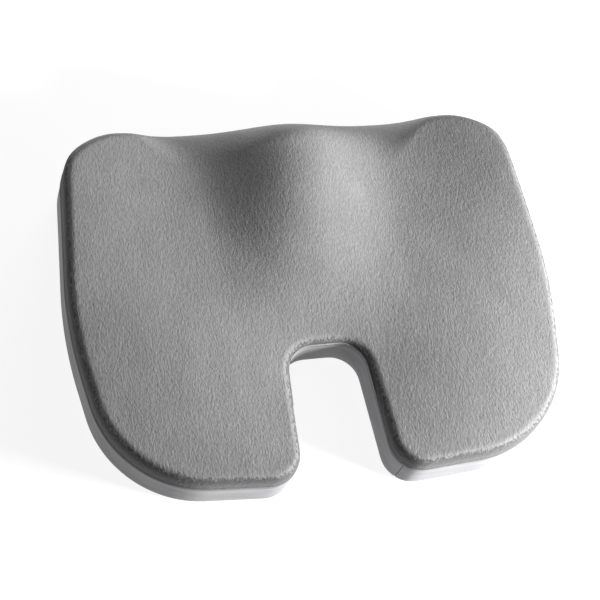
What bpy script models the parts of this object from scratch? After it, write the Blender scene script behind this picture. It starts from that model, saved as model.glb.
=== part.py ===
"""U-shaped memory-foam seat cushion in a zipped plush cover, at rest on its base.

Frame: metres, +Z up. The origin is the middle of the underside. +X is the sitter's right and
+Y is the front edge, under the thighs. The notch for the tailbone opens towards -Y.

The cover is sewn from a plush top panel that wraps down the upper walls, two side bands, a notch
band, an upper and a lower front strip with the zip between them, and an anti-slip base panel.
The foam core fills it.
"""

import math

import bmesh
import bpy
from mathutils import Matrix, Vector
from mathutils.geometry import delaunay_2d_cdt

# Overall size of the cover, and the half outline's corners before they are rounded.
SEAT_WIDTH = 0.458          # between the side corners, which the side curve cuts by about 5 mm
SEAT_DEPTH = 0.356
SIDE_CORNER_Y = -0.010
SIDE_RADIUS = 0.400
FRONT_TAPER = 0.018         # how much narrower each side is at the front corner
FRONT_RADIUS = 0.060
REAR_TAPER = 0.0225
REAR_SLOPE = 0.011          # how far the rear corner lies ahead of the leg's tip
REAR_RADIUS = 0.103

# The notch for the tailbone.
NOTCH_MOUTH_WIDTH = 0.086
NOTCH_MOUTH_RADIUS = 0.029
NOTCH_END_WIDTH = 0.070
NOTCH_LENGTH = 0.129
NOTCH_RADIUS = 0.025

# Heights of the seat surface above the base.
RIDGE_HEIGHT = 0.073        # the pommel between the thighs, at the front
GROOVE_HEIGHT = 0.054       # the thigh grooves beside it
SHOULDER_HEIGHT = 0.068     # where the slow rise beyond a groove would end
LEG_HEIGHT = 0.059          # the rear legs
NOTCH_HEIGHT = 0.046        # at the end of the notch, where the seat dips
GROOVE_X = 0.094            # from the middle to the lowest line of a groove
SHOULDER_X = 0.240          # from the middle to where that rise would be level
CONTOUR_START_Y = -0.073    # the front contour fades in from here
CONTOUR_FULL_Y = 0.130      # and is complete here
NOTCH_DIP_WIDTH = 0.100
NOTCH_DIP_LENGTH = 0.180

# How the seat surface rolls over into the walls.
EDGE_ROLL = 0.009           # width of the roll, all round, apart from the front edge
EDGE_DROP = 0.011           # its height, less where the seat dips towards the seam
SIDE_SEAM_Z = 0.038         # the plush meets the bands here, apart from the front edge
FRONT_ROLL_RIDGE = 0.030
FRONT_ROLL_GROOVE = 0.052   # the waterfall under a thigh
FRONT_ROLL_SHOULDER = 0.012
FRONT_SHOULDER_X = 0.148    # from the middle to where a shoulder's tighter roll starts
LEAST_FLANK = 0.002         # upright plush that always stays above the seam
FRONT_ROLL_TURN = 0.45      # front-facing share of a wall's normal where the front roll starts
BASE_ROLL = 0.005

# Cover, and the play between touching pieces.
FABRIC = 0.002
PLAY = 0.0003

# Front wall, from the base up: lower strip, zip opening, upper strip.
LOWER_FLAT = 0.0050         # flat part of the lower strip, above the base roll
UPPER_STRIP = 0.0050
ZIP_END_MARGIN = 0.011      # from the zip's end to where the front corner starts to turn

# Coil zip.
TAPE_LAP = 0.0048           # each tape reaches this far behind its strip
TAPE_THICKNESS = 0.0006
TAPE_TUCK = 0.006           # the tape's ends run this far behind the side bands
COIL_WIDTH = 0.0024
COIL_THICKNESS = 0.0022
COIL_GAP = 0.0016           # the slider's post runs between the two coils
STOP_LENGTH = 0.0030

# Zip slider, along X.
SLIDER_LENGTH = 0.0150
SLIDER_WIDTH = 0.0104
SLIDER_SIDE_PLAY = 0.0008   # between the slider and each strip
SLIDER_PLATE = 0.0014
SLIDER_POST = 0.0030        # length of the post
SLIDER_LIP = 0.0012
SLIDER_BEVEL = 0.0005
BRIDGE_LENGTH = 0.0090
BRIDGE_WIDTH = 0.0020
BRIDGE_BAR = 0.0011         # thickness of the bridge's bar and feet
PULL_LENGTH = 0.0320        # from the pivot to the tip
PULL_WIDTH = 0.0074
PULL_THICKNESS = 0.0014
PULL_WALL = 0.0015          # beside and behind the pull's window
PULL_CLEARANCE = 0.0005     # around the pull's cross-bar, under the bridge

# Blank care label, sewn into the base seam on the right wall.
LABEL_WIDTH = 0.020
LABEL_HEIGHT = 0.018
LABEL_THICKNESS = 0.0008
LABEL_Y = 0.055

# Fineness of the faceted solids.
STEP_ARC = 0.011            # between points on an arc
STEP_LINE = 0.022           # between points on a straight stretch
GRID = 0.018                # between points inside the seat surface
ROLL_STEPS = 5
CURL_STEPS = 2

ZIP_OPENING = SLIDER_WIDTH + 2 * SLIDER_SIDE_PLAY
TAPE_WIDTH = (ZIP_OPENING - COIL_GAP) / 2 + TAPE_LAP
LOWER_STRIP = BASE_ROLL + LOWER_FLAT            # top of the lower strip above the base
ZIP_Z = LOWER_STRIP + ZIP_OPENING / 2
SEAM_Z = LOWER_STRIP + ZIP_OPENING + UPPER_STRIP   # the plush meets the front strips here
FRONT_Y = SEAT_DEPTH / 2
FOAM_INSET = FABRIC + PLAY


def clear_scene():
    """Remove every object of the startup scene."""
    for obj in list(bpy.data.objects):
        bpy.data.objects.remove(obj, do_unlink=True)


def material(name, colour, roughness, metallic=0.0):
    """Make a Principled material."""
    made = bpy.data.materials.new(name)
    made.use_nodes = True
    shader = made.node_tree.nodes["Principled BSDF"]
    shader.inputs["Base Color"].default_value = (*colour, 1.0)
    shader.inputs["Roughness"].default_value = roughness
    shader.inputs["Metallic"].default_value = metallic
    return made


def add_object(name, mesh, finish):
    """Link a mesh as a named object with one material."""
    mesh.materials.append(finish)
    obj = bpy.data.objects.new(name, mesh)
    bpy.context.scene.collection.objects.link(obj)
    return obj


def shade_smooth(mesh):
    """Shade a rounded mesh smooth, apart from its hard edges."""
    mesh.shade_smooth()
    mesh.set_sharp_from_angle(angle=math.radians(40))


# --- Outline -------------------------------------------------------------------------------


def half_corners():
    """Corners of the right half outline, from the front to the notch, with their radii."""
    half = SEAT_WIDTH / 2
    rear = -SEAT_DEPTH / 2
    return [
        (Vector((half - FRONT_TAPER, FRONT_Y)), FRONT_RADIUS),
        (Vector((half, SIDE_CORNER_Y)), SIDE_RADIUS),
        (Vector((half - REAR_TAPER, rear + REAR_SLOPE)), REAR_RADIUS),
        (Vector((NOTCH_MOUTH_WIDTH / 2, rear)), NOTCH_MOUTH_RADIUS),
        (Vector((NOTCH_END_WIDTH / 2, rear + NOTCH_LENGTH)), NOTCH_RADIUS),
    ]


def arc_points(before, corner, after, radius):
    """Points along the arc that rounds one corner, from the side of before to that of after."""
    first = (before - corner).normalized()
    second = (after - corner).normalized()
    half_angle = first.angle(second) / 2
    start = corner + first * radius / math.tan(half_angle)
    centre = corner + (first + second).normalized() * radius / math.sin(half_angle)
    spoke = start - centre
    turn = math.pi - 2 * half_angle
    if first.x * second.y - first.y * second.x > 0:
        turn = -turn
    count = max(2, math.ceil(abs(turn) * radius / STEP_ARC))
    points = []
    for i in range(count + 1):
        angle = turn * i / count
        cos, sin = math.cos(angle), math.sin(angle)
        points.append(centre + Vector((spoke.x * cos - spoke.y * sin, spoke.x * sin + spoke.y * cos)))
    return points


def corner_arcs():
    """The arcs that round the outline's corners, clockwise from above, from the right front."""
    right = half_corners()
    corners = right + [(Vector((-c.x, c.y)), r) for c, r in reversed(right)]
    arcs = []
    for i, (corner, radius) in enumerate(corners):
        before = corners[i - 1][0]
        after = corners[(i + 1) % len(corners)][0]
        arcs.append(arc_points(before, corner, after, radius))
    return arcs


def fill_line(start, end):
    """Points along a straight line, its two ends among them."""
    count = max(1, math.ceil((end - start).length / STEP_LINE))
    return [start.lerp(end, i / count) for i in range(count + 1)]


# --- Seat surface --------------------------------------------------------------------------


def ease(value):
    """A smooth step from 0 to 1."""
    value = min(1.0, max(0.0, value))
    return value * value * (3 - 2 * value)


def lobes(x, ridge, groove, shoulder, shoulder_x):
    """A value that runs in waves across the front: ridge, groove, and a shoulder from shoulder_x."""
    x = abs(x)
    if x < GROOVE_X:
        return groove + (ridge - groove) * (1 + math.cos(math.pi * x / GROOVE_X)) / 2
    along = min(1.0, (x - GROOVE_X) / (shoulder_x - GROOVE_X))
    return groove + (shoulder - groove) * (1 - math.cos(math.pi * along)) / 2


def seat_height(x, y):
    """Height of the plush surface above the base, away from the rolled edges."""
    front = lobes(x, RIDGE_HEIGHT, GROOVE_HEIGHT, SHOULDER_HEIGHT, SHOULDER_X)
    notch_end = -SEAT_DEPTH / 2 + NOTCH_LENGTH
    near_notch = math.exp(-((x / NOTCH_DIP_WIDTH) ** 2)) * ease((y - notch_end) / NOTCH_DIP_LENGTH + 1)
    rear = LEG_HEIGHT + (NOTCH_HEIGHT - LEG_HEIGHT) * near_notch
    share = ease((y - CONTOUR_START_Y) / (CONTOUR_FULL_Y - CONTOUR_START_Y))
    return rear + (front - rear) * share


class Station:
    """One place on the outline: its point, its outward normal, and how its plush edge rolls."""

    def __init__(self, point, normal):
        self.point = point
        self.normal = normal
        front = ease((normal.y - FRONT_ROLL_TURN) / (1 - FRONT_ROLL_TURN))
        rolls = (FRONT_ROLL_RIDGE, FRONT_ROLL_GROOVE, FRONT_ROLL_SHOULDER)
        front_roll = lobes(point.x, *rolls, FRONT_SHOULDER_X)
        self.roll = EDGE_ROLL + (front_roll - EDGE_ROLL) * front
        self.seam = SIDE_SEAM_Z + (SEAM_Z - SIDE_SEAM_Z) * front
        rim = point - normal * self.roll
        side_flank = max(seat_height(rim.x, rim.y) - EDGE_DROP, SIDE_SEAM_Z + LEAST_FLANK)
        self.flank = side_flank + (SEAM_Z + LEAST_FLANK - side_flank) * front

    def at(self, inset, z):
        """The point this far inside the wall, at this height."""
        inside = self.point - self.normal * inset
        return Vector((inside.x, inside.y, z))

    def top(self, inset, angle):
        """A point on the roll from the flank (angle 0) to the seat surface (a right angle)."""
        depth = inset + (self.roll - inset) * (1 - math.cos(angle))
        place = self.at(depth, 0)
        crown = seat_height(place.x, place.y) - inset
        place.z = self.flank + (crown - self.flank) * math.sin(angle)
        return place

    def base(self, inset, angle):
        """A point on the roll from the underside (angle 0) to the wall (a right angle)."""
        radius = BASE_ROLL - inset
        depth = BASE_ROLL - radius * math.sin(angle)
        return self.at(depth, BASE_ROLL - radius * math.cos(angle))

    def moved_towards(self, neighbour):
        """The same wall, moved by the play towards a neighbour."""
        step = (neighbour.point - self.point).normalized() * PLAY
        return Station(self.point + step, self.normal)

    def wall_section(self, top):
        """The section of a fabric wall from the base roll up to this height."""
        outer = [self.base(0.0, a) for a in quarter_turn(CURL_STEPS)] + [self.at(0.0, top)]
        inner = [self.base(FABRIC, a) for a in quarter_turn(CURL_STEPS)] + [self.at(FABRIC, top)]
        return outer + inner[::-1]


def make_stations(arcs):
    """Stations all round the outline, and the place in their list where each arc starts."""
    points = []
    starts = []
    for i, arc in enumerate(arcs):
        starts.append(len(points))
        following = arcs[(i + 1) % len(arcs)][0]
        points += arc + fill_line(arc[-1], following)[1:-1]
    stations = []
    for i, point in enumerate(points):
        before = (point - points[i - 1]).normalized()
        after = (points[(i + 1) % len(points)] - point).normalized()
        along = (before + after).normalized()
        stations.append(Station(point, Vector((-along.y, along.x))))
    return stations, starts


def front_station(x):
    """A station on the straight front edge."""
    return Station(Vector((x, FRONT_Y)), Vector((0, 1)))


def band_stations(arcs, stations, starts, zip_end):
    """Stations of the right, notch and left bands. The seams beside the notch are on its mouth."""
    mouth_right, mouth_left = 3, 6
    middle = len(arcs[mouth_right]) // 2
    first = starts[mouth_right] + middle
    last = starts[mouth_left] + len(arcs[mouth_left]) - 1 - middle
    right = [front_station(zip_end + PLAY)] + stations[:first + 1]
    left = stations[last:starts[-1] + len(arcs[-1])] + [front_station(-zip_end - PLAY)]
    notch = stations[first:last + 1]
    notch[0] = notch[0].moved_towards(notch[1])
    notch[-1] = notch[-1].moved_towards(notch[-2])
    return right, notch, left


def quarter_turn(steps):
    """Angles from 0 to a right angle."""
    return [math.pi / 2 * i / steps for i in range(steps + 1)]


# --- Meshes --------------------------------------------------------------------------------


def add_ring(bm, points):
    """Add points as vertices."""
    return [bm.verts.new(p) for p in points]


def join_rings(bm, lower, upper):
    """Triangles between two closed rings, cut the same way on every surface so that gaps hold."""
    for i, start in enumerate(lower):
        j = (i + 1) % len(lower)
        bm.faces.new((start, upper[i], upper[j]))
        bm.faces.new((start, upper[j], lower[j]))


def plan_seat(stations):
    """Triangles of the seat surface in plan, inside the roll: its points, rim first, and faces."""
    rim = [s.point - s.normal * s.roll for s in stations]
    low_y = min(p.y for p in rim)
    columns = math.ceil(2 * max(p.x for p in rim) / GRID)
    rows = math.ceil((max(p.y for p in rim) - low_y) / GRID)
    inside = []
    for i in range(columns + 1):
        for j in range(rows + 1):
            place = Vector(((i - columns / 2) * GRID, low_y + j * GRID))
            if min((place - p).length for p in rim) > GRID * 0.55:
                inside.append(place)
    border = list(range(len(rim)))
    points, _, faces, _, _, _ = delaunay_2d_cdt(rim + inside, [], [border], 1, 1e-7)
    return points, faces


def fill_seat(bm, ring, plan, inset):
    """Close the innermost ring with the seat surface."""
    points, faces = plan
    verts = dict(enumerate(ring))
    for face in faces:
        for i in face:
            if i not in verts:
                place = points[i]
                verts[i] = bm.verts.new((place.x, place.y, seat_height(place.x, place.y) - inset))
        bm.faces.new([verts[i] for i in face])


def finish_mesh(bm, name, smooth=True):
    """Turn a closed bmesh into a mesh with its faces pointing out."""
    bmesh.ops.recalc_face_normals(bm, faces=bm.faces)
    mesh = bpy.data.meshes.new(name)
    bm.to_mesh(mesh)
    bm.free()
    if smooth:
        shade_smooth(mesh)
    return mesh


def top_rings(bm, stations, inset):
    """Rings from the seam up the flank and over the roll to the seat surface."""
    rings = [add_ring(bm, [s.at(inset, s.seam) for s in stations])]
    for angle in quarter_turn(ROLL_STEPS):
        rings.append(add_ring(bm, [s.top(inset, angle) for s in stations]))
    return rings


def make_foam_core(stations, plan, finish):
    """The moulded foam block, which fills the cover."""
    bm = bmesh.new()
    rings = []
    for angle in quarter_turn(CURL_STEPS):
        rings.append(add_ring(bm, [s.base(FOAM_INSET, angle) for s in stations]))
    rings += top_rings(bm, stations, FOAM_INSET)
    for lower, upper in zip(rings, rings[1:]):
        join_rings(bm, lower, upper)
    bm.faces.new(rings[0])
    fill_seat(bm, rings[-1], plan, FOAM_INSET)
    return add_object("foam_core", finish_mesh(bm, "foam_core"), finish)


def make_top_panel(stations, plan, finish):
    """The plush panel over the seat, down to the seam with the bands."""
    bm = bmesh.new()
    rims = []
    for inset in (0.0, FABRIC):
        rings = top_rings(bm, stations, inset)
        for lower, upper in zip(rings, rings[1:]):
            join_rings(bm, lower, upper)
        fill_seat(bm, rings[-1], plan, inset)
        rims.append(rings[0])
    join_rings(bm, rims[0], rims[1])
    return add_object("top_panel", finish_mesh(bm, "top_panel"), finish)


def make_wall(name, sections, finish):
    """A strip of fabric wall through some sections."""
    bm = bmesh.new()
    rings = [add_ring(bm, section) for section in sections]
    for one, two in zip(rings, rings[1:]):
        join_rings(bm, one, two)
    bm.faces.new(rings[0])
    bm.faces.new(rings[-1])
    return add_object(name, finish_mesh(bm, name), finish)


def make_band(name, stations, finish):
    """A band of the wall along some stations, from the base seam to just under the top seam."""
    return make_wall(name, [s.wall_section(s.seam - PLAY) for s in stations], finish)


def make_base_panel(stations, finish):
    """The flat anti-slip panel under the cushion."""
    bm = bmesh.new()
    edge = BASE_ROLL + PLAY
    lower = add_ring(bm, [s.at(edge, 0.0) for s in stations])
    upper = add_ring(bm, [s.at(edge, FABRIC) for s in stations])
    join_rings(bm, lower, upper)
    bm.faces.new(lower)
    bm.faces.new(upper)
    return add_object("base_panel", finish_mesh(bm, "base_panel", smooth=False), finish)


def make_box(name, low, high, finish, bevel=0.0, segments=1):
    """A box between two corners, with its edges bevelled if asked."""
    low, high = Vector(low), Vector(high)
    bm = bmesh.new()
    bmesh.ops.create_cube(bm, size=1.0)
    bmesh.ops.scale(bm, vec=high - low, verts=bm.verts)
    if bevel:
        bmesh.ops.bevel(bm, geom=bm.edges[:], offset=bevel, segments=segments, affect="EDGES")
    obj = add_object(name, finish_mesh(bm, name, smooth=False), finish)
    obj.location = (low + high) / 2
    return obj


def set_origin(obj, point):
    """Put an object's origin at a point, and leave its shape where it is."""
    obj.data.transform(Matrix.Translation(obj.location - point))
    obj.location = point


def make_prism(name, profile, half_height, finish):
    """An outline in X and Y, extruded both ways along Z."""
    bm = bmesh.new()
    lower = add_ring(bm, [Vector((x, y, -half_height)) for x, y in profile])
    upper = add_ring(bm, [Vector((x, y, half_height)) for x, y in profile])
    join_rings(bm, lower, upper)
    bm.faces.new(lower)
    bm.faces.new(upper)
    return add_object(name, finish_mesh(bm, name, smooth=False), finish)


def combine(target, helper, operation):
    """Apply a Boolean with a helper, which is then hidden."""
    modifier = target.modifiers.new(helper.name, "BOOLEAN")
    modifier.operation = operation
    modifier.object = helper
    helper.hide_render = True
    helper.display_type = "WIRE"


# --- Zip -----------------------------------------------------------------------------------
# Layers of the zip, from the front face of the strips inwards.

STRIP_BACK_Y = FRONT_Y - FABRIC
TAPE_FRONT_Y = STRIP_BACK_Y - PLAY
TAPE_BACK_Y = TAPE_FRONT_Y - TAPE_THICKNESS
COIL_BACK_Y = TAPE_FRONT_Y + PLAY
COIL_FRONT_Y = COIL_BACK_Y + COIL_THICKNESS
SLIDER_FRONT_Y = COIL_FRONT_Y + PLAY            # inner face of the slider's front plate
SLIDER_BACK_Y = TAPE_BACK_Y - PLAY              # inner face of its back plate
PIVOT_Y = SLIDER_FRONT_Y + SLIDER_PLATE + PULL_CLEARANCE + PULL_THICKNESS / 2


def relieve_foam(foam, zip_end, finish):
    """Cut the shallow pockets that the zip's tapes and its slider press into the foam."""
    reach = COIL_GAP / 2 + TAPE_WIDTH + PLAY
    outside = FRONT_Y + FABRIC
    for name, half_height, depth, end in (
        ("tape_pocket", reach, TAPE_BACK_Y - PLAY, zip_end + TAPE_TUCK + PLAY),
        ("slider_pocket", ZIP_OPENING / 2, SLIDER_BACK_Y - SLIDER_PLATE - PLAY, zip_end),
    ):
        low = (-end, depth, ZIP_Z - half_height)
        high = (end, outside, ZIP_Z + half_height)
        combine(foam, make_box(name, low, high, finish), "DIFFERENCE")


def make_front_strips(zip_end, finish):
    """The straight strips of the front wall, above and below the zip."""
    low = (-zip_end, STRIP_BACK_Y, LOWER_STRIP + ZIP_OPENING)
    high = (zip_end, FRONT_Y, SEAM_Z - PLAY)
    make_box("front_strip_upper", low, high, finish)
    ends = [front_station(-zip_end), front_station(zip_end)]
    make_wall("front_strip_lower", [s.wall_section(LOWER_STRIP) for s in ends], finish)


def make_zip_chain(zip_end, tape_finish, coil_finish, stop_finish):
    """Two tapes, each with its coil, and a stop at each end."""
    coil_end = zip_end - STOP_LENGTH - 2 * PLAY
    for name, side in (("upper", 1), ("lower", -1)):
        inner = ZIP_Z + side * COIL_GAP / 2
        outer = inner + side * TAPE_WIDTH
        tape_end = zip_end + TAPE_TUCK
        low = (-tape_end, TAPE_BACK_Y, min(inner, outer))
        high = (tape_end, TAPE_FRONT_Y, max(inner, outer))
        make_box(f"zip_tape_{name}", low, high, tape_finish)
        outer = inner + side * COIL_WIDTH
        low = (-coil_end, COIL_BACK_Y, min(inner, outer))
        high = (coil_end, COIL_FRONT_Y, max(inner, outer))
        make_box(f"zip_coil_{name}", low, high, coil_finish, bevel=COIL_THICKNESS * 0.3, segments=2)
    half_height = COIL_GAP / 2 + COIL_WIDTH
    for name, side in (("left", -1), ("right", 1)):
        ends = sorted((side * (zip_end - PLAY), side * (zip_end - PLAY - STOP_LENGTH)))
        low = (ends[0], COIL_BACK_Y, ZIP_Z - half_height)
        high = (ends[1], COIL_FRONT_Y, ZIP_Z + half_height)
        make_box(f"zip_stop_{name}", low, high, stop_finish, bevel=SLIDER_BEVEL)


def make_bridge(front_face, root_y, finish):
    """The staple that holds the pull tab on the slider's front plate."""
    outer = BRIDGE_LENGTH / 2
    inner = outer - BRIDGE_BAR
    inside = front_face + PULL_THICKNESS + 2 * PULL_CLEARANCE
    outside = inside + BRIDGE_BAR
    left = [(-inner, root_y), (-outer, root_y), (-outer, outside)]
    right = [(outer, outside), (outer, root_y), (inner, root_y)]
    profile = left + right + [(inner, inside), (-inner, inside)]
    return make_prism("slider_bridge", profile, BRIDGE_WIDTH / 2, finish)


def make_slider(pivot, finish):
    """The die-cast slider: two plates, a post between the coils, lips and the pull's bridge."""
    half_length = SLIDER_LENGTH / 2
    half_width = SLIDER_WIDTH / 2
    front_face = SLIDER_FRONT_Y + SLIDER_PLATE
    low = (-half_length, SLIDER_FRONT_Y, -half_width)
    high = (half_length, front_face, half_width)
    body = make_box("zip_slider", low, high, finish, bevel=SLIDER_BEVEL)
    root = SLIDER_PLATE / 2
    low = (-half_length, SLIDER_BACK_Y - SLIDER_PLATE, -half_width)
    high = (half_length, SLIDER_BACK_Y, half_width)
    helpers = [make_box("slider_back_plate", low, high, finish, bevel=SLIDER_BEVEL)]
    post_half = COIL_GAP / 2 - PLAY
    post_start = -half_length + 2 * SLIDER_BEVEL
    low = (post_start, SLIDER_BACK_Y - root, -post_half)
    high = (post_start + SLIDER_POST, SLIDER_FRONT_Y + root, post_half)
    helpers.append(make_box("slider_post", low, high, finish))
    helpers.append(make_bridge(front_face, front_face - root, finish))
    lip_half = half_length - 2 * SLIDER_BEVEL
    for word, side in (("upper", 1), ("lower", -1)):
        edges = sorted((side * (half_width - SLIDER_BEVEL / 2), side * (half_width - SLIDER_LIP)))
        low = (-lip_half, TAPE_FRONT_Y + PLAY, edges[0])
        high = (lip_half, SLIDER_FRONT_Y + root, edges[1])
        helpers.append(make_box(f"slider_lip_{word}", low, high, finish))
    place = Vector((pivot.x, 0, pivot.z))
    for helper in helpers:
        helper.location += place
        combine(body, helper, "UNION")
    body.location += place


def make_pull_tab(pivot, finish):
    """The pull tab, flat along the closed chain. Its window takes the slider's bridge.

    Its origin is on the axis that it turns about, which runs up through its cross-bar.
    """
    half_width = PULL_WIDTH / 2
    half_thick = PULL_THICKNESS / 2
    window_end = BRIDGE_LENGTH / 2 + 3 * PULL_CLEARANCE
    window_half = half_width - PULL_WALL
    low = (pivot.x - half_thick, pivot.y - half_thick, pivot.z - half_width)
    high = (pivot.x + PULL_LENGTH, pivot.y + half_thick, pivot.z + half_width)
    tab = make_box("zip_pull_tab", low, high, finish, bevel=PULL_THICKNESS * 0.28)
    low = (pivot.x + half_thick, pivot.y - PULL_THICKNESS, pivot.z - window_half)
    high = (pivot.x + window_end, pivot.y + PULL_THICKNESS, pivot.z + window_half)
    combine(tab, make_box("pull_window", low, high, finish), "DIFFERENCE")
    set_origin(tab, pivot)


def make_care_label(stations, finish):
    """The blank label, flat against the right wall and standing in the base seam."""
    right = [s for s in stations if s.normal.x > 0.9]
    near = min(right, key=lambda s: abs(s.point.y - LABEL_Y))
    half = LABEL_WIDTH / 2
    low = (PLAY, -half, BASE_ROLL)
    high = (PLAY + LABEL_THICKNESS, half, BASE_ROLL + LABEL_HEIGHT)
    label = make_box("care_label", low, high, finish)
    angle = math.atan2(near.normal.y, near.normal.x)
    offset = near.normal * (PLAY + LABEL_THICKNESS / 2)
    label.location = (near.point.x + offset.x, near.point.y + offset.y, label.location.z)
    label.rotation_euler.z = angle


def main():
    """Build every piece of the cushion."""
    clear_scene()
    foam = material("memory_foam", (0.83, 0.80, 0.70), 0.9)
    plush = material("plush", (0.27, 0.27, 0.27), 0.95)
    velour = material("side_velour", (0.24, 0.24, 0.25), 0.85)
    base = material("anti_slip_base", (0.06, 0.06, 0.065), 0.8)
    tape = material("zip_tape", (0.16, 0.16, 0.17), 0.85)
    coil = material("zip_coil", (0.13, 0.13, 0.14), 0.4)
    metal = material("zip_metal", (0.35, 0.35, 0.37), 0.35, metallic=1.0)
    satin = material("label_satin", (0.80, 0.80, 0.79), 0.5)

    arcs = corner_arcs()
    stations, starts = make_stations(arcs)
    zip_end = arcs[0][0].x - ZIP_END_MARGIN

    plan = plan_seat(stations)
    core = make_foam_core(stations, plan, foam)
    relieve_foam(core, zip_end, foam)
    make_top_panel(stations, plan, plush)
    right, notch, left = band_stations(arcs, stations, starts, zip_end)
    make_band("side_band_right", right, velour)
    make_band("notch_band", notch, velour)
    make_band("side_band_left", left, velour)
    make_front_strips(zip_end, velour)
    make_base_panel(stations, base)
    make_care_label(stations, satin)

    make_zip_chain(zip_end, tape, coil, metal)
    slider_x = -(zip_end - STOP_LENGTH - 3 * PLAY - SLIDER_LENGTH / 2)
    pivot = Vector((slider_x, PIVOT_Y, ZIP_Z))
    make_slider(pivot, metal)
    make_pull_tab(pivot, metal)


if __name__ == "__main__":
    main()
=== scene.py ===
"""U-shaped plush seat cushion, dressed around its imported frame.

Frame: metres, +Z up. +X is the sitter's right, +Y the front edge, and the tailbone notch opens
towards -Y. One closed cover is swelled by cloth simulation, and the sewn panels are cut from it:
the plush top, two side bands and the band in the notch. The zip, the base and the trimmings are
built around it from the frame's own boxes.
"""

from __future__ import annotations

import logging
import math
from dataclasses import dataclass, field
from enum import Enum
from typing import Any, Sequence

import bmesh
import bpy
import numpy as np
from mathutils import Matrix, Vector
from mathutils.geometry import delaunay_2d_cdt


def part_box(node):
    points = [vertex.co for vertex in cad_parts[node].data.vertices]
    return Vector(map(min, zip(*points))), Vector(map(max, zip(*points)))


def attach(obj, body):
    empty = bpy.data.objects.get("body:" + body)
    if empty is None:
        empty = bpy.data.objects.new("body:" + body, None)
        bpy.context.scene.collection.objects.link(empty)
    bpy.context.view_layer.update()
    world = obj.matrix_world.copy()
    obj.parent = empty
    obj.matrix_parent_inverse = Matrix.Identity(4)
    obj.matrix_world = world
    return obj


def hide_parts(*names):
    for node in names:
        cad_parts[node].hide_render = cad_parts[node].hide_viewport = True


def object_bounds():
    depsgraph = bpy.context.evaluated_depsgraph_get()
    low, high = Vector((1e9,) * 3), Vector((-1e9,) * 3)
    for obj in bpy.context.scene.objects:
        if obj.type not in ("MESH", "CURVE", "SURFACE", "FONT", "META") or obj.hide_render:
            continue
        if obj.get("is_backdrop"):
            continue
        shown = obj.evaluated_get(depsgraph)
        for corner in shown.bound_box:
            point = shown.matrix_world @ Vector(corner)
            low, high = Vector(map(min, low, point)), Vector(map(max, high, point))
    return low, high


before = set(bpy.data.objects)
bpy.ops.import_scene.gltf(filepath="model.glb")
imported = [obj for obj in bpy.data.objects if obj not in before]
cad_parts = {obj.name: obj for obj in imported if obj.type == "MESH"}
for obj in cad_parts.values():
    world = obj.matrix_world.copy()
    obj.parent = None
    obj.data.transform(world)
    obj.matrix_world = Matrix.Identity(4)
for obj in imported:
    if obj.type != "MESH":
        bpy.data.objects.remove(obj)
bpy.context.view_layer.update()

log = logging.getLogger("cushion")

MM = 0.001
Point2 = tuple[float, float]
Point3 = tuple[float, float, float]


# --- Small tools ---------------------------------------------------------------------------


def srgb(code: str) -> tuple[float, float, float, float]:
    """Turn an sRGB hex colour into the linear one that shaders take.

    Args:
        code: Six hex digits, such as "8f8f8f".

    Returns:
        Linear red, green and blue, and an alpha of one.
    """
    channels = [int(code[i : i + 2], 16) / 255 for i in (0, 2, 4)]
    linear = [c / 12.92 if c <= 0.04045 else ((c + 0.055) / 1.055) ** 2.4 for c in channels]
    return (linear[0], linear[1], linear[2], 1.0)


def add_node(
    tree: bpy.types.NodeTree, kind: str, inputs: dict[Any, Any] | None = None, **settings: Any
) -> bpy.types.Node:
    """Add a node with its settings, and fill its inputs.

    Args:
        tree: The tree that gets the node.
        kind: The node's type, such as "ShaderNodeMath".
        inputs: A constant or another node's output for each named or numbered input.
        settings: Properties of the node itself.

    Returns:
        The new node.
    """
    made = tree.nodes.new(kind)
    for name, value in settings.items():
        setattr(made, name, value)
    for key, value in (inputs or {}).items():
        if isinstance(value, bpy.types.NodeSocket):
            tree.links.new(value, made.inputs[key])
        else:
            made.inputs[key].default_value = value
    return made


def link_object(name: str, mesh: bpy.types.Mesh) -> bpy.types.Object:
    """Put a mesh in the scene as a named object at the origin."""
    made = bpy.data.objects.new(name, mesh)
    bpy.context.scene.collection.objects.link(made)
    return made


def bake_modifiers(obj: bpy.types.Object) -> None:
    """Replace an object's mesh by the evaluated one, and drop its modifiers.

    Args:
        obj: The mesh object, whose modifiers are applied in order.
    """
    bpy.context.view_layer.update()
    graph = bpy.context.evaluated_depsgraph_get()
    baked = bpy.data.meshes.new_from_object(obj.evaluated_get(graph))
    obj.modifiers.clear()
    obj.data = baked


def mesh_from(
    name: str, points: Sequence[Any], faces: Sequence[Sequence[int]], recalculate: bool = True
) -> bpy.types.Mesh:
    """Make a smooth-shaded mesh.

    Args:
        name: The mesh's name.
        points: Its vertices.
        faces: The vertices of each face.
        recalculate: Turn the faces of a closed form outwards.

    Returns:
        The mesh, with its vertices in the order given.
    """
    made = bpy.data.meshes.new(name)
    made.from_pydata([tuple(p) for p in points], [], [tuple(f) for f in faces])
    if recalculate:
        bm = bmesh.new()
        bm.from_mesh(made)
        bmesh.ops.recalc_face_normals(bm, faces=bm.faces)
        bm.to_mesh(made)
        bm.free()
    made.shade_smooth()
    return made


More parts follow.
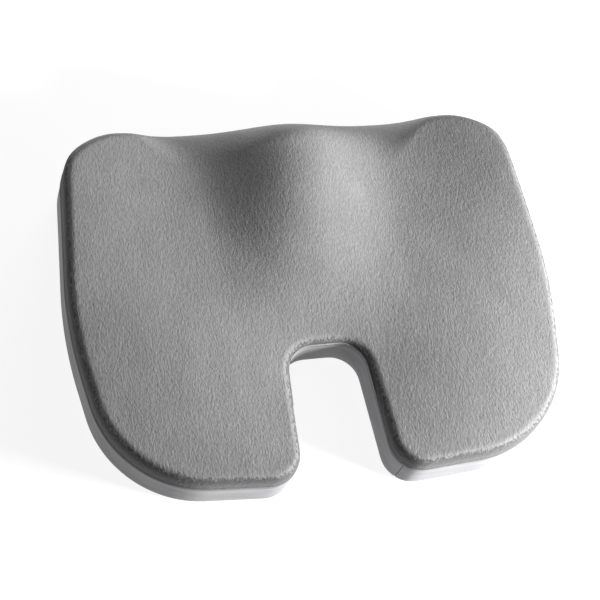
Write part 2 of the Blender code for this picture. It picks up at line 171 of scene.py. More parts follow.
def place_along(lines: np.ndarray, distances: np.ndarray) -> np.ndarray:
    """Put points at given distances along each of some polylines.

    Args:
        lines: Polylines side by side, as (samples, lines, 3).
        distances: Distances from each line's start, as (wanted, lines).

    Returns:
        The points, as (wanted, lines, 3).
    """
    steps = np.linalg.norm(np.diff(lines, axis=0), axis=2)
    run = np.vstack([np.zeros((1, lines.shape[1])), np.cumsum(steps, axis=0)])
    placed = np.empty((distances.shape[0], lines.shape[1], 3))
    for i in range(lines.shape[1]):
        for axis in range(3):
            placed[:, i, axis] = np.interp(distances[:, i], run[:, i], lines[:, i, axis])
    return placed


def line_lengths(lines: np.ndarray) -> np.ndarray:
    """The length of each polyline of a (samples, lines, 3) array."""
    return np.linalg.norm(np.diff(lines, axis=0), axis=2).sum(axis=0)


def grid_faces(rows: int, columns: int, closed: bool) -> list[tuple[int, int, int, int]]:
    """Quads of a grid of points that are stored row by row.

    Args:
        rows: How many rows.
        columns: How many points in a row.
        closed: Join the last column to the first.

    Returns:
        Four vertex numbers a face.
    """
    faces = []
    for r in range(rows - 1):
        for c in range(columns if closed else columns - 1):
            after = (c + 1) % columns
            faces.append(
                (r * columns + c, r * columns + after, (r + 1) * columns + after, (r + 1) * columns + c)
            )
    return faces


def fill_plan(rim: np.ndarray, pitch: float) -> tuple[np.ndarray, list[tuple[int, ...]]]:
    """Fill a closed outline in plan with even triangles.

    Args:
        rim: The outline's points in plan, as (points, 2).
        pitch: The distance between the points inside.

    Returns:
        The points, rim first, and the triangles.
    """
    row_step = pitch * math.sqrt(3) / 2
    low, high = rim.min(axis=0), rim.max(axis=0)
    columns = math.ceil((high[0] - low[0]) / pitch) + 1
    rows = math.ceil((high[1] - low[1]) / row_step) + 1
    inside = []
    for j in range(rows):
        for i in range(columns):
            place = np.array([low[0] + (i + (j % 2) / 2) * pitch, low[1] + j * row_step])
            if np.min(np.sum((rim - place) ** 2, axis=1)) > (0.6 * pitch) ** 2:
                inside.append(Vector(place))
    border = [Vector(p) for p in rim]
    points, _, faces, _, _, _ = delaunay_2d_cdt(
        border + inside, [], [list(range(len(border)))], 1, 1e-8
    )
    return np.array([tuple(p) for p in points]), [tuple(f) for f in faces]


def smooth_outline(points: Sequence[Point2], passes: int = 2) -> list[Point2]:
    """Cut the corners of a closed outline until it is round.

    Args:
        points: The outline's corners.
        passes: How often each corner is cut.

    Returns:
        The rounded outline.
    """
    for _ in range(passes):
        cut: list[Point2] = []
        for i, (x, y) in enumerate(points):
            nx, ny = points[(i + 1) % len(points)]
            cut.append((0.75 * x + 0.25 * nx, 0.75 * y + 0.25 * ny))
            cut.append((0.25 * x + 0.75 * nx, 0.25 * y + 0.75 * ny))
        points = cut
    return list(points)


def cut_sheet(
    name: str, outlines: Sequence[Sequence[Point2]], thickness: float, edge: float
) -> bpy.types.Mesh:
    """Make a flat plate with rounded edges and holes, lying in X and Z.

    Args:
        name: The mesh's name.
        outlines: The outer outline and then each hole, as (x, z) points.
        thickness: The plate's thickness, along Y and centred on it.
        edge: The radius of its edges.

    Returns:
        The plate's closed mesh.
    """
    curve = bpy.data.curves.new(name, "CURVE")
    curve.dimensions = "2D"
    curve.fill_mode = "BOTH"
    curve.extrude = thickness / 2 - edge
    curve.bevel_depth = edge
    curve.bevel_resolution = 2
    curve.offset = -edge
    for outline in outlines:
        spline = curve.splines.new("POLY")
        spline.points.add(len(outline) - 1)
        for point, (x, z) in zip(spline.points, outline):
            point.co = (x, z, 0.0, 1.0)
        spline.use_cyclic_u = True
    holder = bpy.data.objects.new(name, curve)
    bpy.context.scene.collection.objects.link(holder)
    bpy.context.view_layer.update()
    graph = bpy.context.evaluated_depsgraph_get()
    mesh = bpy.data.meshes.new_from_object(holder.evaluated_get(graph))
    bpy.data.objects.remove(holder, do_unlink=True)
    bm = bmesh.new()
    bm.from_mesh(mesh)
    bmesh.ops.remove_doubles(bm, verts=bm.verts, dist=1e-6)
    bmesh.ops.transform(bm, matrix=Matrix.Rotation(math.pi / 2, 4, "X"), verts=bm.verts)
    bmesh.ops.recalc_face_normals(bm, faces=bm.faces)
    bm.to_mesh(mesh)
    bm.free()
    mesh.shade_smooth()
    return mesh


def dress(
    obj: bpy.types.Object, material: bpy.types.Material, body: str, slot: str, *nodes: str
) -> bpy.types.Object:
    """Give a finished piece its material and its body.

    Args:
        obj: The finished piece.
        material: Its only material.
        body: The body that it rides on.
        slot: Not used.
        nodes: The nodes that it stands for.

    Returns:
        The same piece.
    """
    obj.data.materials.clear()
    obj.data.materials.append(material)
    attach(obj, body)
    if nodes:
        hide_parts(*nodes)
    log.info("%s: %d faces, on %s", obj.name, len(obj.data.polygons), body)
    return obj


class GeometryRecipe:
    """A Geometry Nodes tree with named inputs, which makes a plain mesh."""

    def __init__(self, name: str, sizes: dict[str, float]) -> None:
        """Start a tree that takes a geometry, some sizes and a material.

        Args:
            name: The tree's name.
            sizes: The named inputs, and what each is set to.
        """
        self.sizes = sizes
        self.tree = bpy.data.node_groups.new(name, "GeometryNodeTree")
        face = self.tree.interface
        face.new_socket("Geometry", in_out="INPUT", socket_type="NodeSocketGeometry")
        for size in sizes:
            face.new_socket(size, in_out="INPUT", socket_type="NodeSocketFloat")
        face.new_socket("Material", in_out="INPUT", socket_type="NodeSocketMaterial")
        face.new_socket("Geometry", in_out="OUTPUT", socket_type="NodeSocketGeometry")
        self.given = add_node(self.tree, "NodeGroupInput")

    def size(self, name: str) -> bpy.types.NodeSocket:
        """The output that carries a named input."""
        return self.given.outputs[name]

    def node(self, kind: str, inputs: dict[Any, Any] | None = None, **settings: Any) -> bpy.types.Node:
        """Add a node to the tree."""
        return add_node(self.tree, kind, inputs, **settings)

    def end(self, geometry: bpy.types.NodeSocket) -> None:
        """Realise the instances, set the material and close the tree.

        Args:
            geometry: The output that carries the finished geometry.
        """
        real = self.node("GeometryNodeRealizeInstances", {"Geometry": geometry})
        smooth = self.node("GeometryNodeSetShadeSmooth", {"Geometry": real.outputs[0]})
        painted = self.node(
            "GeometryNodeSetMaterial",
            {"Geometry": smooth.outputs[0], "Material": self.given.outputs["Material"]},
        )
        self.node("NodeGroupOutput", {0: painted.outputs[0]})

    def run(self, obj: bpy.types.Object, material: bpy.types.Material) -> bpy.types.Object:
        """Run the tree on an object, which is left with a plain mesh.

        Args:
            obj: The object whose mesh is the tree's input.
            material: The material that the result gets.

        Returns:
            The same object.
        """
        modifier = obj.modifiers.new(self.tree.name, "NODES")
        modifier.node_group = self.tree
        values: dict[str, Any] = {**self.sizes, "Material": material}
        for item in self.tree.interface.items_tree:
            if item.in_out == "INPUT" and item.name in values:
                modifier[item.identifier] = values[item.name]
        bake_modifiers(obj)
        return obj


# --- Finishes ------------------------------------------------------------------------------


@dataclass(frozen=True)
class Finish:
    """A material: its name, its colour in sRGB hex and how rough it is."""

    name: str
    colour: str
    roughness: float

    def build(self) -> bpy.types.Material:
        """Make the material, with its constants on the shader's own sockets."""
        made = bpy.data.materials.new(self.name)
        made.use_nodes = True
        shader = made.node_tree.nodes["Principled BSDF"]
        shader.inputs["Base Color"].default_value = srgb(self.colour)
        shader.inputs["Roughness"].default_value = self.roughness
        self.detail(made.node_tree, shader)
        return made

    def detail(self, tree: bpy.types.NodeTree, shader: bpy.types.Node) -> None:
        """Add the surface's pattern. Each finish has its own."""
        raise NotImplementedError

    def noise(
        self, tree: bpy.types.NodeTree, size: Sequence[float], detail: float = 2.0
    ) -> bpy.types.NodeSocket:
        """Noise in object space whose grains have a given size.

        Args:
            tree: The material's tree.
            size: The grains' length along X, Y and Z, in metres.
            detail: How many finer octaves it carries.

        Returns:
            The output from 0 to 1.
        """
        place = add_node(tree, "ShaderNodeTexCoord").outputs["Object"]
        scaled = add_node(
            tree, "ShaderNodeVectorMath", {0: place, 1: tuple(1 / s for s in size)}, operation="MULTIPLY"
        )
        return add_node(
            tree, "ShaderNodeTexNoise", {"Vector": scaled.outputs[0], "Scale": 1.0, "Detail": detail}
        ).outputs["Fac"]

    def tint(
        self,
        tree: bpy.types.NodeTree,
        shader: bpy.types.Node,
        amount: bpy.types.NodeSocket,
        low: str,
        high: str,
        span: Point2 = (0.3, 0.7),
    ) -> bpy.types.Node:
        """Drive the base colour from one colour to another.

        Args:
            tree: The material's tree.
            shader: The shader that gets the colour.
            amount: The value that chooses between the two.
            low: The colour where the value is low.
            high: The colour where it is high.
            span: The values at which each colour is reached.

        Returns:
            The ramp.
        """
        ramp = add_node(tree, "ShaderNodeValToRGB", {"Fac": amount})
        ramp.color_ramp.elements[0].position = span[0]
        ramp.color_ramp.elements[0].color = srgb(low)
        ramp.color_ramp.elements[1].position = span[1]
        ramp.color_ramp.elements[1].color = srgb(high)
        tree.links.new(ramp.outputs["Color"], shader.inputs["Base Color"])
        return ramp

    def bump(
        self,
        tree: bpy.types.NodeTree,
        shader: bpy.types.Node,
        height: bpy.types.NodeSocket,
        depth: float,
        strength: float = 1.0,
        under: bpy.types.NodeSocket | None = None,
    ) -> bpy.types.NodeSocket:
        """Raise the surface by a height from 0 to 1.

        Args:
            tree: The material's tree.
            shader: The shader whose normal is driven.
            height: The relief.
            depth: How high the relief stands, in metres.
            strength: How much of it shows.
            under: The normal of a coarser relief that this one lies on.

        Returns:
            The bumped normal.
        """
        inputs: dict[str, Any] = {"Height": height, "Distance": depth, "Strength": strength}
        if under is not None:
            inputs["Normal"] = under
        normal = add_node(tree, "ShaderNodeBump", inputs).outputs["Normal"]
        tree.links.new(normal, shader.inputs["Normal"])
        return normal


@dataclass(frozen=True)
class ShearedPlush(Finish):
    """Knitted polyester plush, sheared short. Its pile lies along Y in fine tufts with a soft sheen. Its
    flanks get painted shade: their colour is darkened by how steep they are."""

    # Painted shade: the dark grey that the steep flanks are mixed towards.
    painted_shade: str = "565656"
    tuft_width: float = 1.5 * MM
    tuft_length: float = 3.3 * MM
    relief: float = 0.40 * MM

    def detail(self, tree: bpy.types.NodeTree, shader: bpy.types.Node) -> None:
        """Paint the tufts with painted shade in their hollows, the slow drift of the nap and painted shade on
        the steep flanks.

        Args:
            tree: The material's tree.
            shader: The shader that gets them.
        """
        w, l = self.tuft_width, self.tuft_length
        streaks = self.noise(tree, (w, l, l * 0.6), 3.0)
        fibres = self.noise(tree, (w * 0.45, l * 0.45, l * 0.3), 2.0)
        drift = self.noise(tree, (26 * MM, 42 * MM, 30 * MM), 2.0)
        # Painted shade on the flanks: the flank steepness, given a ragged edge by the tufts, mixes the colour
        # towards the dark grey of the painted shade.
        flank_steepness = add_node(tree, "ShaderNodeAttribute", attribute_name="flank_steepness").outputs["Fac"]
        ragged = add_node(tree, "ShaderNodeMath", {0: streaks, 1: 1.5, 2: -0.75}, operation="MULTIPLY_ADD")
        edge = add_node(tree, "ShaderNodeMath", {0: flank_steepness, 1: ragged.outputs[0]}, operation="ADD")
        down = add_node(
            tree,
            "ShaderNodeMapRange",
            {0: edge.outputs[0], 1: 0.30, 2: 0.80},
            interpolation_type="SMOOTHSTEP",
        )
        # Painted shade in the tufts' hollows: the streak noise that raises the bump also darkens the colour
        # where it is low; the slow drift adds random tone.
        tone = add_node(tree, "ShaderNodeMath", {0: streaks, 1: 0.7, 2: 0.0}, operation="MULTIPLY_ADD")
        tone = add_node(
            tree, "ShaderNodeMath", {0: drift, 1: 0.35, 2: tone.outputs[0]}, operation="MULTIPLY_ADD"
        )
        ramp = self.tint(tree, shader, tone.outputs[0], "848484", "9a9a9a", (0.35, 0.72))
        painted_shade = add_node(
            tree,
            "ShaderNodeMix",
            {0: down.outputs[0], 6: ramp.outputs["Color"], 7: srgb(self.painted_shade)},
            data_type="RGBA",
        )
        tree.links.new(painted_shade.outputs[2], shader.inputs["Base Color"])
        shader.inputs["Sheen Weight"].default_value = 0.12
        shader.inputs["Sheen Roughness"].default_value = 0.45
        shader.inputs["Specular IOR Level"].default_value = 0.15
        coarse = self.bump(tree, shader, streaks, self.relief, 0.9)
        self.bump(tree, shader, fibres, self.relief * 0.4, 0.8, coarse)


@dataclass(frozen=True)
class SmoothVelour(Finish):
    """Warp-knitted velour, brushed flat. Its nap is too fine to see, so the bands look smooth,
    with a soft sheen and a slow change of tone along them."""

    def detail(self, tree: bpy.types.NodeTree, shader: bpy.types.Node) -> None:
        """Paint the drift of the nap and its fine grain.

        Args:
            tree: The material's tree.
            shader: The shader that gets them.
        """
        drift = self.noise(tree, (34 * MM, 34 * MM, 12 * MM), 1.5)
        self.tint(tree, shader, drift, "7f7f81", "8c8c8e")
        # Real naps are about 0.1 mm apart; these are 0.7 mm, which is as fine as shows.
        nap = self.noise(tree, (0.7 * MM, 0.7 * MM, 1.4 * MM), 2.0)
        self.bump(tree, shader, nap, 0.12 * MM, 0.5)
        shader.inputs["Sheen Weight"].default_value = 0.18
        shader.inputs["Sheen Roughness"].default_value = 0.35
        shader.inputs["Specular IOR Level"].default_value = 0.2


@dataclass(frozen=True)
class MouldedFoam(Finish):
    """Moulded viscoelastic foam: a cream skin with fine open cells and a dull, soft surface."""

    def detail(self, tree: bpy.types.NodeTree, shader: bpy.types.Node) -> None:
        """Paint the cells of the skin.

        Args:
            tree: The material's tree.
            shader: The shader that gets them.
        """
        cells = self.noise(tree, (1.1 * MM,) * 3, 3.0)
        self.tint(tree, shader, cells, "d9d2bd", "ece6d4")
        self.bump(tree, shader, cells, 0.25 * MM, 0.6)
        shader.inputs["Subsurface Weight"].default_value = 0.05
        shader.inputs["Subsurface Radius"].default_value = (0.002, 0.0015, 0.001)


@dataclass(frozen=True)
class BaseKnit(Finish):
    """Circular-knitted polyester in near black. Its wales run front to back, as fine ribs."""

    wale: float = 1.1 * MM      # a real wale is about 0.6 mm, drawn wider so that it shows

    def detail(self, tree: bpy.types.NodeTree, shader: bpy.types.Node) -> None:
        """Paint the ribs of the knit and the stitches across them.

        Args:
            tree: The material's tree.
            shader: The shader that gets them.
        """
        place = add_node(tree, "ShaderNodeTexCoord").outputs["Object"]
        ribs = add_node(
            tree,
            "ShaderNodeTexWave",
            {"Vector": place, "Scale": 0.314 / self.wale, "Distortion": 0.4, "Detail Scale": 4.0},
            bands_direction="X",
        ).outputs["Fac"]
        loops = add_node(
            tree,
            "ShaderNodeTexWave",
            {"Vector": place, "Scale": 0.314 / (self.wale * 0.8), "Distortion": 0.6, "Detail Scale": 4.0},
            bands_direction="Y",
        ).outputs["Fac"]
        knit = add_node(tree, "ShaderNodeMath", {0: ribs, 1: loops}, operation="MULTIPLY").outputs[0]
        self.tint(tree, shader, knit, "1f1f21", "3c3c3f", (0.1, 0.8))
        self.bump(tree, shader, knit, 0.3 * MM, 0.7)
        shader.inputs["Sheen Weight"].default_value = 0.1


@dataclass(frozen=True)
class SoftRubber(Finish):
    """Thermoplastic rubber, printed as dots: black, slightly glossy, with a faint bloom."""

    def detail(self, tree: bpy.types.NodeTree, shader: bpy.types.Node) -> None:
        """Paint the bloom.

        Args:
            tree: The material's tree.
            shader: The shader that gets it.
        """
        bloom = self.noise(tree, (9 * MM,) * 3, 3.0)
        self.tint(tree, shader, bloom, "161617", "242426")
        self.bump(tree, shader, self.noise(tree, (0.5 * MM,) * 3), 0.04 * MM, 0.5)


@dataclass(frozen=True)
class WovenTape(Finish):
    """Woven polyester zip tape: a dense twill in dark grey whose ribs slant across it."""

    rib: float = 0.9 * MM       # real ribs are about 0.5 mm apart

    def detail(self, tree: bpy.types.NodeTree, shader: bpy.types.Node) -> None:
        """Paint the twill.

        Args:
            tree: The material's tree.
            shader: The shader that gets it.
        """
        place = add_node(tree, "ShaderNodeTexCoord").outputs["Object"]
        ribs = add_node(
            tree,
            "ShaderNodeTexWave",
            {"Vector": place, "Scale": 0.314 / self.rib, "Distortion": 0.3, "Detail Scale": 6.0},
            bands_direction="DIAGONAL",
        ).outputs["Fac"]
        self.tint(tree, shader, ribs, "58585a", "77777a", (0.2, 0.8))
        self.bump(tree, shader, ribs, 0.12 * MM, 0.8)
        shader.inputs["Sheen Weight"].default_value = 0.08


@dataclass(frozen=True)
class NylonCoil(Finish):
    """Extruded nylon monofilament, heat-set as a coil: smooth, satin, dark grey."""

    def detail(self, tree: bpy.types.NodeTree, shader: bpy.types.Node) -> None:
        """Paint the wear on the coil, and its extrusion lines.

        Args:
            tree: The material's tree.
            shader: The shader that gets them.
        """
        wear = self.noise(tree, (6 * MM, 2 * MM, 2 * MM), 2.0)
        self.tint(tree, shader, wear, "48484a", "616164")
        self.bump(tree, shader, self.noise(tree, (0.3 * MM,) * 3), 0.02 * MM, 0.4)
        shader.inputs["IOR"].default_value = 1.53


@dataclass(frozen=True)
class GunmetalZinc(Finish):
    """Zinc alloy, die-cast and barrel-plated in gunmetal: a dark mirror softened by tumbling
    marks, and paler where edges rub."""

    def detail(self, tree: bpy.types.NodeTree, shader: bpy.types.Node) -> None:
        """Paint the tumbling marks.

        Args:
            tree: The material's tree.
            shader: The shader that gets them.
        """
        shader.inputs["Metallic"].default_value = 1.0
        marks = self.noise(tree, (2.2 * MM, 0.5 * MM, 0.5 * MM), 3.0)
        self.tint(tree, shader, marks, "6c6d70", "8e8f92")
        rough = add_node(tree, "ShaderNodeMapRange", {0: marks, 1: 0.3, 2: 0.7, 3: 0.26, 4: 0.42})
        tree.links.new(rough.outputs[0], shader.inputs["Roughness"])
        self.bump(tree, shader, marks, 0.02 * MM, 0.5)


@dataclass(frozen=True)
class LabelSatin(Finish):
    """Woven polyester satin: white, smooth, with a gloss along its floating threads."""

    def detail(self, tree: bpy.types.NodeTree, shader: bpy.types.Node) -> None:
        """Paint the threads.

        Args:
            tree: The material's tree.
            shader: The shader that gets them.
        """
        threads = self.noise(tree, (0.5 * MM, 0.5 * MM, 4 * MM), 1.0)
        self.tint(tree, shader, threads, "dededb", "efefec")
        self.bump(tree, shader, threads, 0.05 * MM, 0.5)
        shader.inputs["Sheen Weight"].default_value = 0.1


@dataclass(frozen=True)
class SpunThread(Finish):
    """Spun polyester sewing thread, a shade off the cloth that it holds, with a faint twist."""

    def detail(self, tree: bpy.types.NodeTree, shader: bpy.types.Node) -> None:
        """Paint the twist.

        Args:
            tree: The material's tree.
            shader: The shader that gets it.
        """
        twist = self.noise(tree, (0.25 * MM, 0.25 * MM, 0.25 * MM), 1.0)
        self.tint(tree, shader, twist, "6f6f71", "8a8a8c")
        self.bump(tree, shader, twist, 0.05 * MM, 0.6)


@dataclass(frozen=True)
class PaperSweep(Finish):
    """Matt white studio paper. It glows a little, so that shadows on it stay pale."""

    glow: float = 0.85

    def detail(self, tree: bpy.types.NodeTree, shader: bpy.types.Node) -> None:
        """Lift the paper's own light.

        Args:
            tree: The material's tree.
            shader: The shader that gets it.
        """
        shader.inputs["Emission Color"].default_value = srgb("ffffff")
        shader.inputs["Emission Strength"].default_value = self.glow
        self.bump(tree, shader, self.noise(tree, (4 * MM,) * 3), 0.01 * MM, 0.1)


# --- The cushion's form --------------------------------------------------------------------


def ease(value: np.ndarray) -> np.ndarray:
    """A smooth step from 0 to 1."""
    value = np.clip(value, 0.0, 1.0)
    return value * value * (3 - 2 * value)


@dataclass
class Outline:
    """The wall's outline in plan, clockwise from above, as a fine polyline with its normals."""

    points: np.ndarray
    normals: np.ndarray
    arc_middles: list[float]
    run: np.ndarray = field(init=False)
    length: float = field(init=False)

    def __post_init__(self) -> None:
        """Measure the distance of each point along the outline."""
        closed = np.vstack([self.points, self.points[:1]])
        steps = np.linalg.norm(np.diff(closed, axis=0), axis=1)
        self.run = np.concatenate([[0.0], np.cumsum(steps)])
        self.length = float(self.run[-1])

    def at(self, distance: np.ndarray) -> tuple[np.ndarray, np.ndarray]:
        """Points and outward normals at some distances along the outline.

        Args:
            distance: Distances from the outline's start, which may pass its end.

        Returns:
            The points and the unit normals, each as (distances, 2).
        """
        where = np.mod(distance, self.length)
        place = np.stack([np.interp(where, self.run, np.append(c, c[0])) for c in self.points.T], 1)
        turned = np.stack([np.interp(where, self.run, np.append(c, c[0])) for c in self.normals.T], 1)
        return place, turned / np.linalg.norm(turned, axis=1, keepdims=True)

    def nearest(self, x: float, y: float) -> float:
        """The distance along the outline of its point nearest to a place."""
        gaps = np.sum((self.points - np.array([x, y])) ** 2, axis=1)
        return float(self.run[int(np.argmin(gaps))])


@dataclass(frozen=True)
class SeatForm:
    """The cushion's shape: a U in plan, with a pommel, thigh grooves and rolled edges."""

    width: float = 0.458
    depth: float = 0.356
    side_corner_y: float = -0.010
    side_radius: float = 0.400
    front_taper: float = 0.018
    front_radius: float = 0.060
    rear_taper: float = 0.0225
    rear_slope: float = 0.011
    rear_radius: float = 0.103
    mouth_width: float = 0.086
    mouth_radius: float = 0.029
    notch_end_width: float = 0.070
    notch_length: float = 0.129
    notch_radius: float = 0.025

    ridge_height: float = 0.073
    groove_height: float = 0.054
    shoulder_height: float = 0.068
    leg_height: float = 0.059
    notch_height: float = 0.046
    groove_x: float = 0.094
    shoulder_x: float = 0.240
    contour_start_y: float = -0.073
    contour_full_y: float = 0.130
    dip_width: float = 0.100
    dip_length: float = 0.180

    edge_roll: float = 0.009
    edge_drop: float = 0.011
    front_roll: tuple[float, float, float] = (0.030, 0.052, 0.012)   # ridge, groove, shoulder
    front_shoulder_x: float = 0.148
    least_flank: float = 0.002
    front_turn: float = 0.45
    base_roll: float = 0.005
    seam_z: float = 0.027       # along the front
    side_seam_z: float = 0.038
    fullness: float = 2.3       # 2 rolls the edge as a quarter ellipse, and more fills it out

    def corners(self) -> list[tuple[Point2, float]]:
        """The outline's corners and their radii, clockwise from the right front."""
        half, rear = self.width / 2, -self.depth / 2
        right = [
            ((half - self.front_taper, self.depth / 2), self.front_radius),
            ((half, self.side_corner_y), self.side_radius),
            ((half - self.rear_taper, rear + self.rear_slope), self.rear_radius),
            ((self.mouth_width / 2, rear), self.mouth_radius),
            ((self.notch_end_width / 2, rear + self.notch_length), self.notch_radius),
        ]
        return right + [((-x, y), r) for (x, y), r in reversed(right)]

    def outline(self, step: float = 0.5 * MM) -> Outline:
        """Round the corners and walk round the outline.

        Args:
            step: The distance between points.

        Returns:
            The outline as a fine polyline.
        """
        corners = [(Vector(c), r) for c, r in self.corners()]
        arcs = []
        for i, (corner, radius) in enumerate(corners):
            first = (corners[i - 1][0] - corner).normalized()
            second = (corners[(i + 1) % len(corners)][0] - corner).normalized()
            half_angle = first.angle(second) / 2
            centre = corner + (first + second).normalized() * radius / math.sin(half_angle)
            spoke = corner + first * radius / math.tan(half_angle) - centre
            turn = math.pi - 2 * half_angle
            if first.x * second.y - first.y * second.x > 0:
                turn = -turn
            outward = 1.0 if turn < 0 else -1.0
            count = max(4, math.ceil(abs(turn) * radius / step))
            arc = []
            for k in range(count + 1):
                spun = spoke.copy()
                spun.rotate(Matrix.Rotation(turn * k / count, 2))
                arc.append((centre + spun, spun.normalized() * outward))
            arcs.append(arc)
        places, normals, middles, run = [], [], [], 0.0
        for i, arc in enumerate(arcs):
            start, end = arc[-1], arcs[(i + 1) % len(arcs)][0]
            count = max(1, math.ceil((end[0] - start[0]).length / step))
            line = [(start[0].lerp(end[0], k / count), start[1]) for k in range(1, count)]
            bend = (arc[1][0] - arc[0][0]).length * (len(arc) - 1)
            middles.append(run + bend / 2)
            run += bend + (end[0] - start[0]).length
            for place, normal in arc + line:
                places.append(tuple(place))
                normals.append(tuple(normal))
        return Outline(np.array(places), np.array(normals), middles)

    def lobes(
        self, x: np.ndarray, ridge: float, groove: float, shoulder: float, shoulder_x: float
    ) -> np.ndarray:
        """A value that runs in waves across the front.

        Args:
            x: Places across the cushion.
            ridge: The value on the middle line.
            groove: The value along a thigh groove.
            shoulder: The value from shoulder_x outwards.
            shoulder_x: The distance from the middle where it is reached.

        Returns:
            The value at each place.
        """
        x = np.abs(x)
        inner = groove + (ridge - groove) * (1 + np.cos(math.pi * x / self.groove_x)) / 2
        along = np.clip((x - self.groove_x) / (shoulder_x - self.groove_x), 0, 1)
        outer = groove + (shoulder - groove) * (1 - np.cos(math.pi * along)) / 2
        return np.where(x < self.groove_x, inner, outer)

    def height(self, x: np.ndarray, y: np.ndarray) -> np.ndarray:
        """Height of the seat surface above the base, away from the rolled edges.

        Args:
            x: Places across the cushion.
            y: Places from rear to front.

        Returns:
            The height at each place.
        """
        tops = (self.ridge_height, self.groove_height, self.shoulder_height)
        front = self.lobes(x, *tops, self.shoulder_x)
        notch_end = -self.depth / 2 + self.notch_length
        near = np.exp(-((x / self.dip_width) ** 2)) * ease((y - notch_end) / self.dip_length + 1)
        rear = self.leg_height + (self.notch_height - self.leg_height) * near
        share = ease((y - self.contour_start_y) / (self.contour_full_y - self.contour_start_y))
        return rear + (front - rear) * share

    def frontness(self, normals: np.ndarray) -> np.ndarray:
        """How far each place of the wall belongs to the front edge, from 0 to 1."""
        return ease((normals[:, 1] - self.front_turn) / (1 - self.front_turn))

    def seam(self, points: np.ndarray, normals: np.ndarray) -> np.ndarray:
        """Points of the seam between the plush and the bands above some places of the outline."""
        rise = (self.seam_z - self.side_seam_z) * self.frontness(normals)
        return np.column_stack([points, self.side_seam_z + rise])

    def crown(self, points: np.ndarray, normals: np.ndarray, samples: int = 49) -> np.ndarray:
        """Lines from the seam up the flank and over the rolled edge.

        Args:
            points: Places on the outline.
            normals: Their outward normals.
            samples: How many points each line gets.

        Returns:
            The lines, as (samples, places, 3).
        """
        front = self.frontness(normals)
        front_roll = self.lobes(points[:, 0], *self.front_roll, self.front_shoulder_x)
        roll = self.edge_roll + (front_roll - self.edge_roll) * front
        rim = points - normals * roll[:, None]
        side_flank = self.height(rim[:, 0], rim[:, 1]) - self.edge_drop
        side_flank = np.maximum(side_flank, self.side_seam_z + self.least_flank)
        flank = side_flank + (self.seam_z + self.least_flank - side_flank) * front
        lines = [self.seam(points, normals)]
        power = 2 / (2 + (self.fullness - 2) * (1 - front))
        for angle in np.linspace(0, math.pi / 2, samples - 1):
            depth = roll * (1 - abs(math.cos(angle)) ** power)
            place = points - normals * depth[:, None]
            top = self.height(place[:, 0], place[:, 1])
            lines.append(np.column_stack([place, flank + (top - flank) * math.sin(angle) ** power]))
        return np.array(lines)

    def wall(self, points: np.ndarray, normals: np.ndarray, samples: int = 25) -> np.ndarray:
        """Lines from the base seam round the lower edge and up to the top seam.

        Args:
            points: Places on the outline.
            normals: Their outward normals.
            samples: How many points each line gets.

        Returns:
            The lines, as (samples, places, 3).
        """
        lines = []
        for angle in np.linspace(0, math.pi / 2, samples - 1):
            place = points - normals * self.base_roll * (1 - math.sin(angle))
            height = self.base_roll * (1 - math.cos(angle))
            lines.append(np.column_stack([place, np.full(len(points), height)]))
        lines.append(self.seam(points, normals))
        return np.array(lines)


# --- The simulated cover -------------------------------------------------------------------


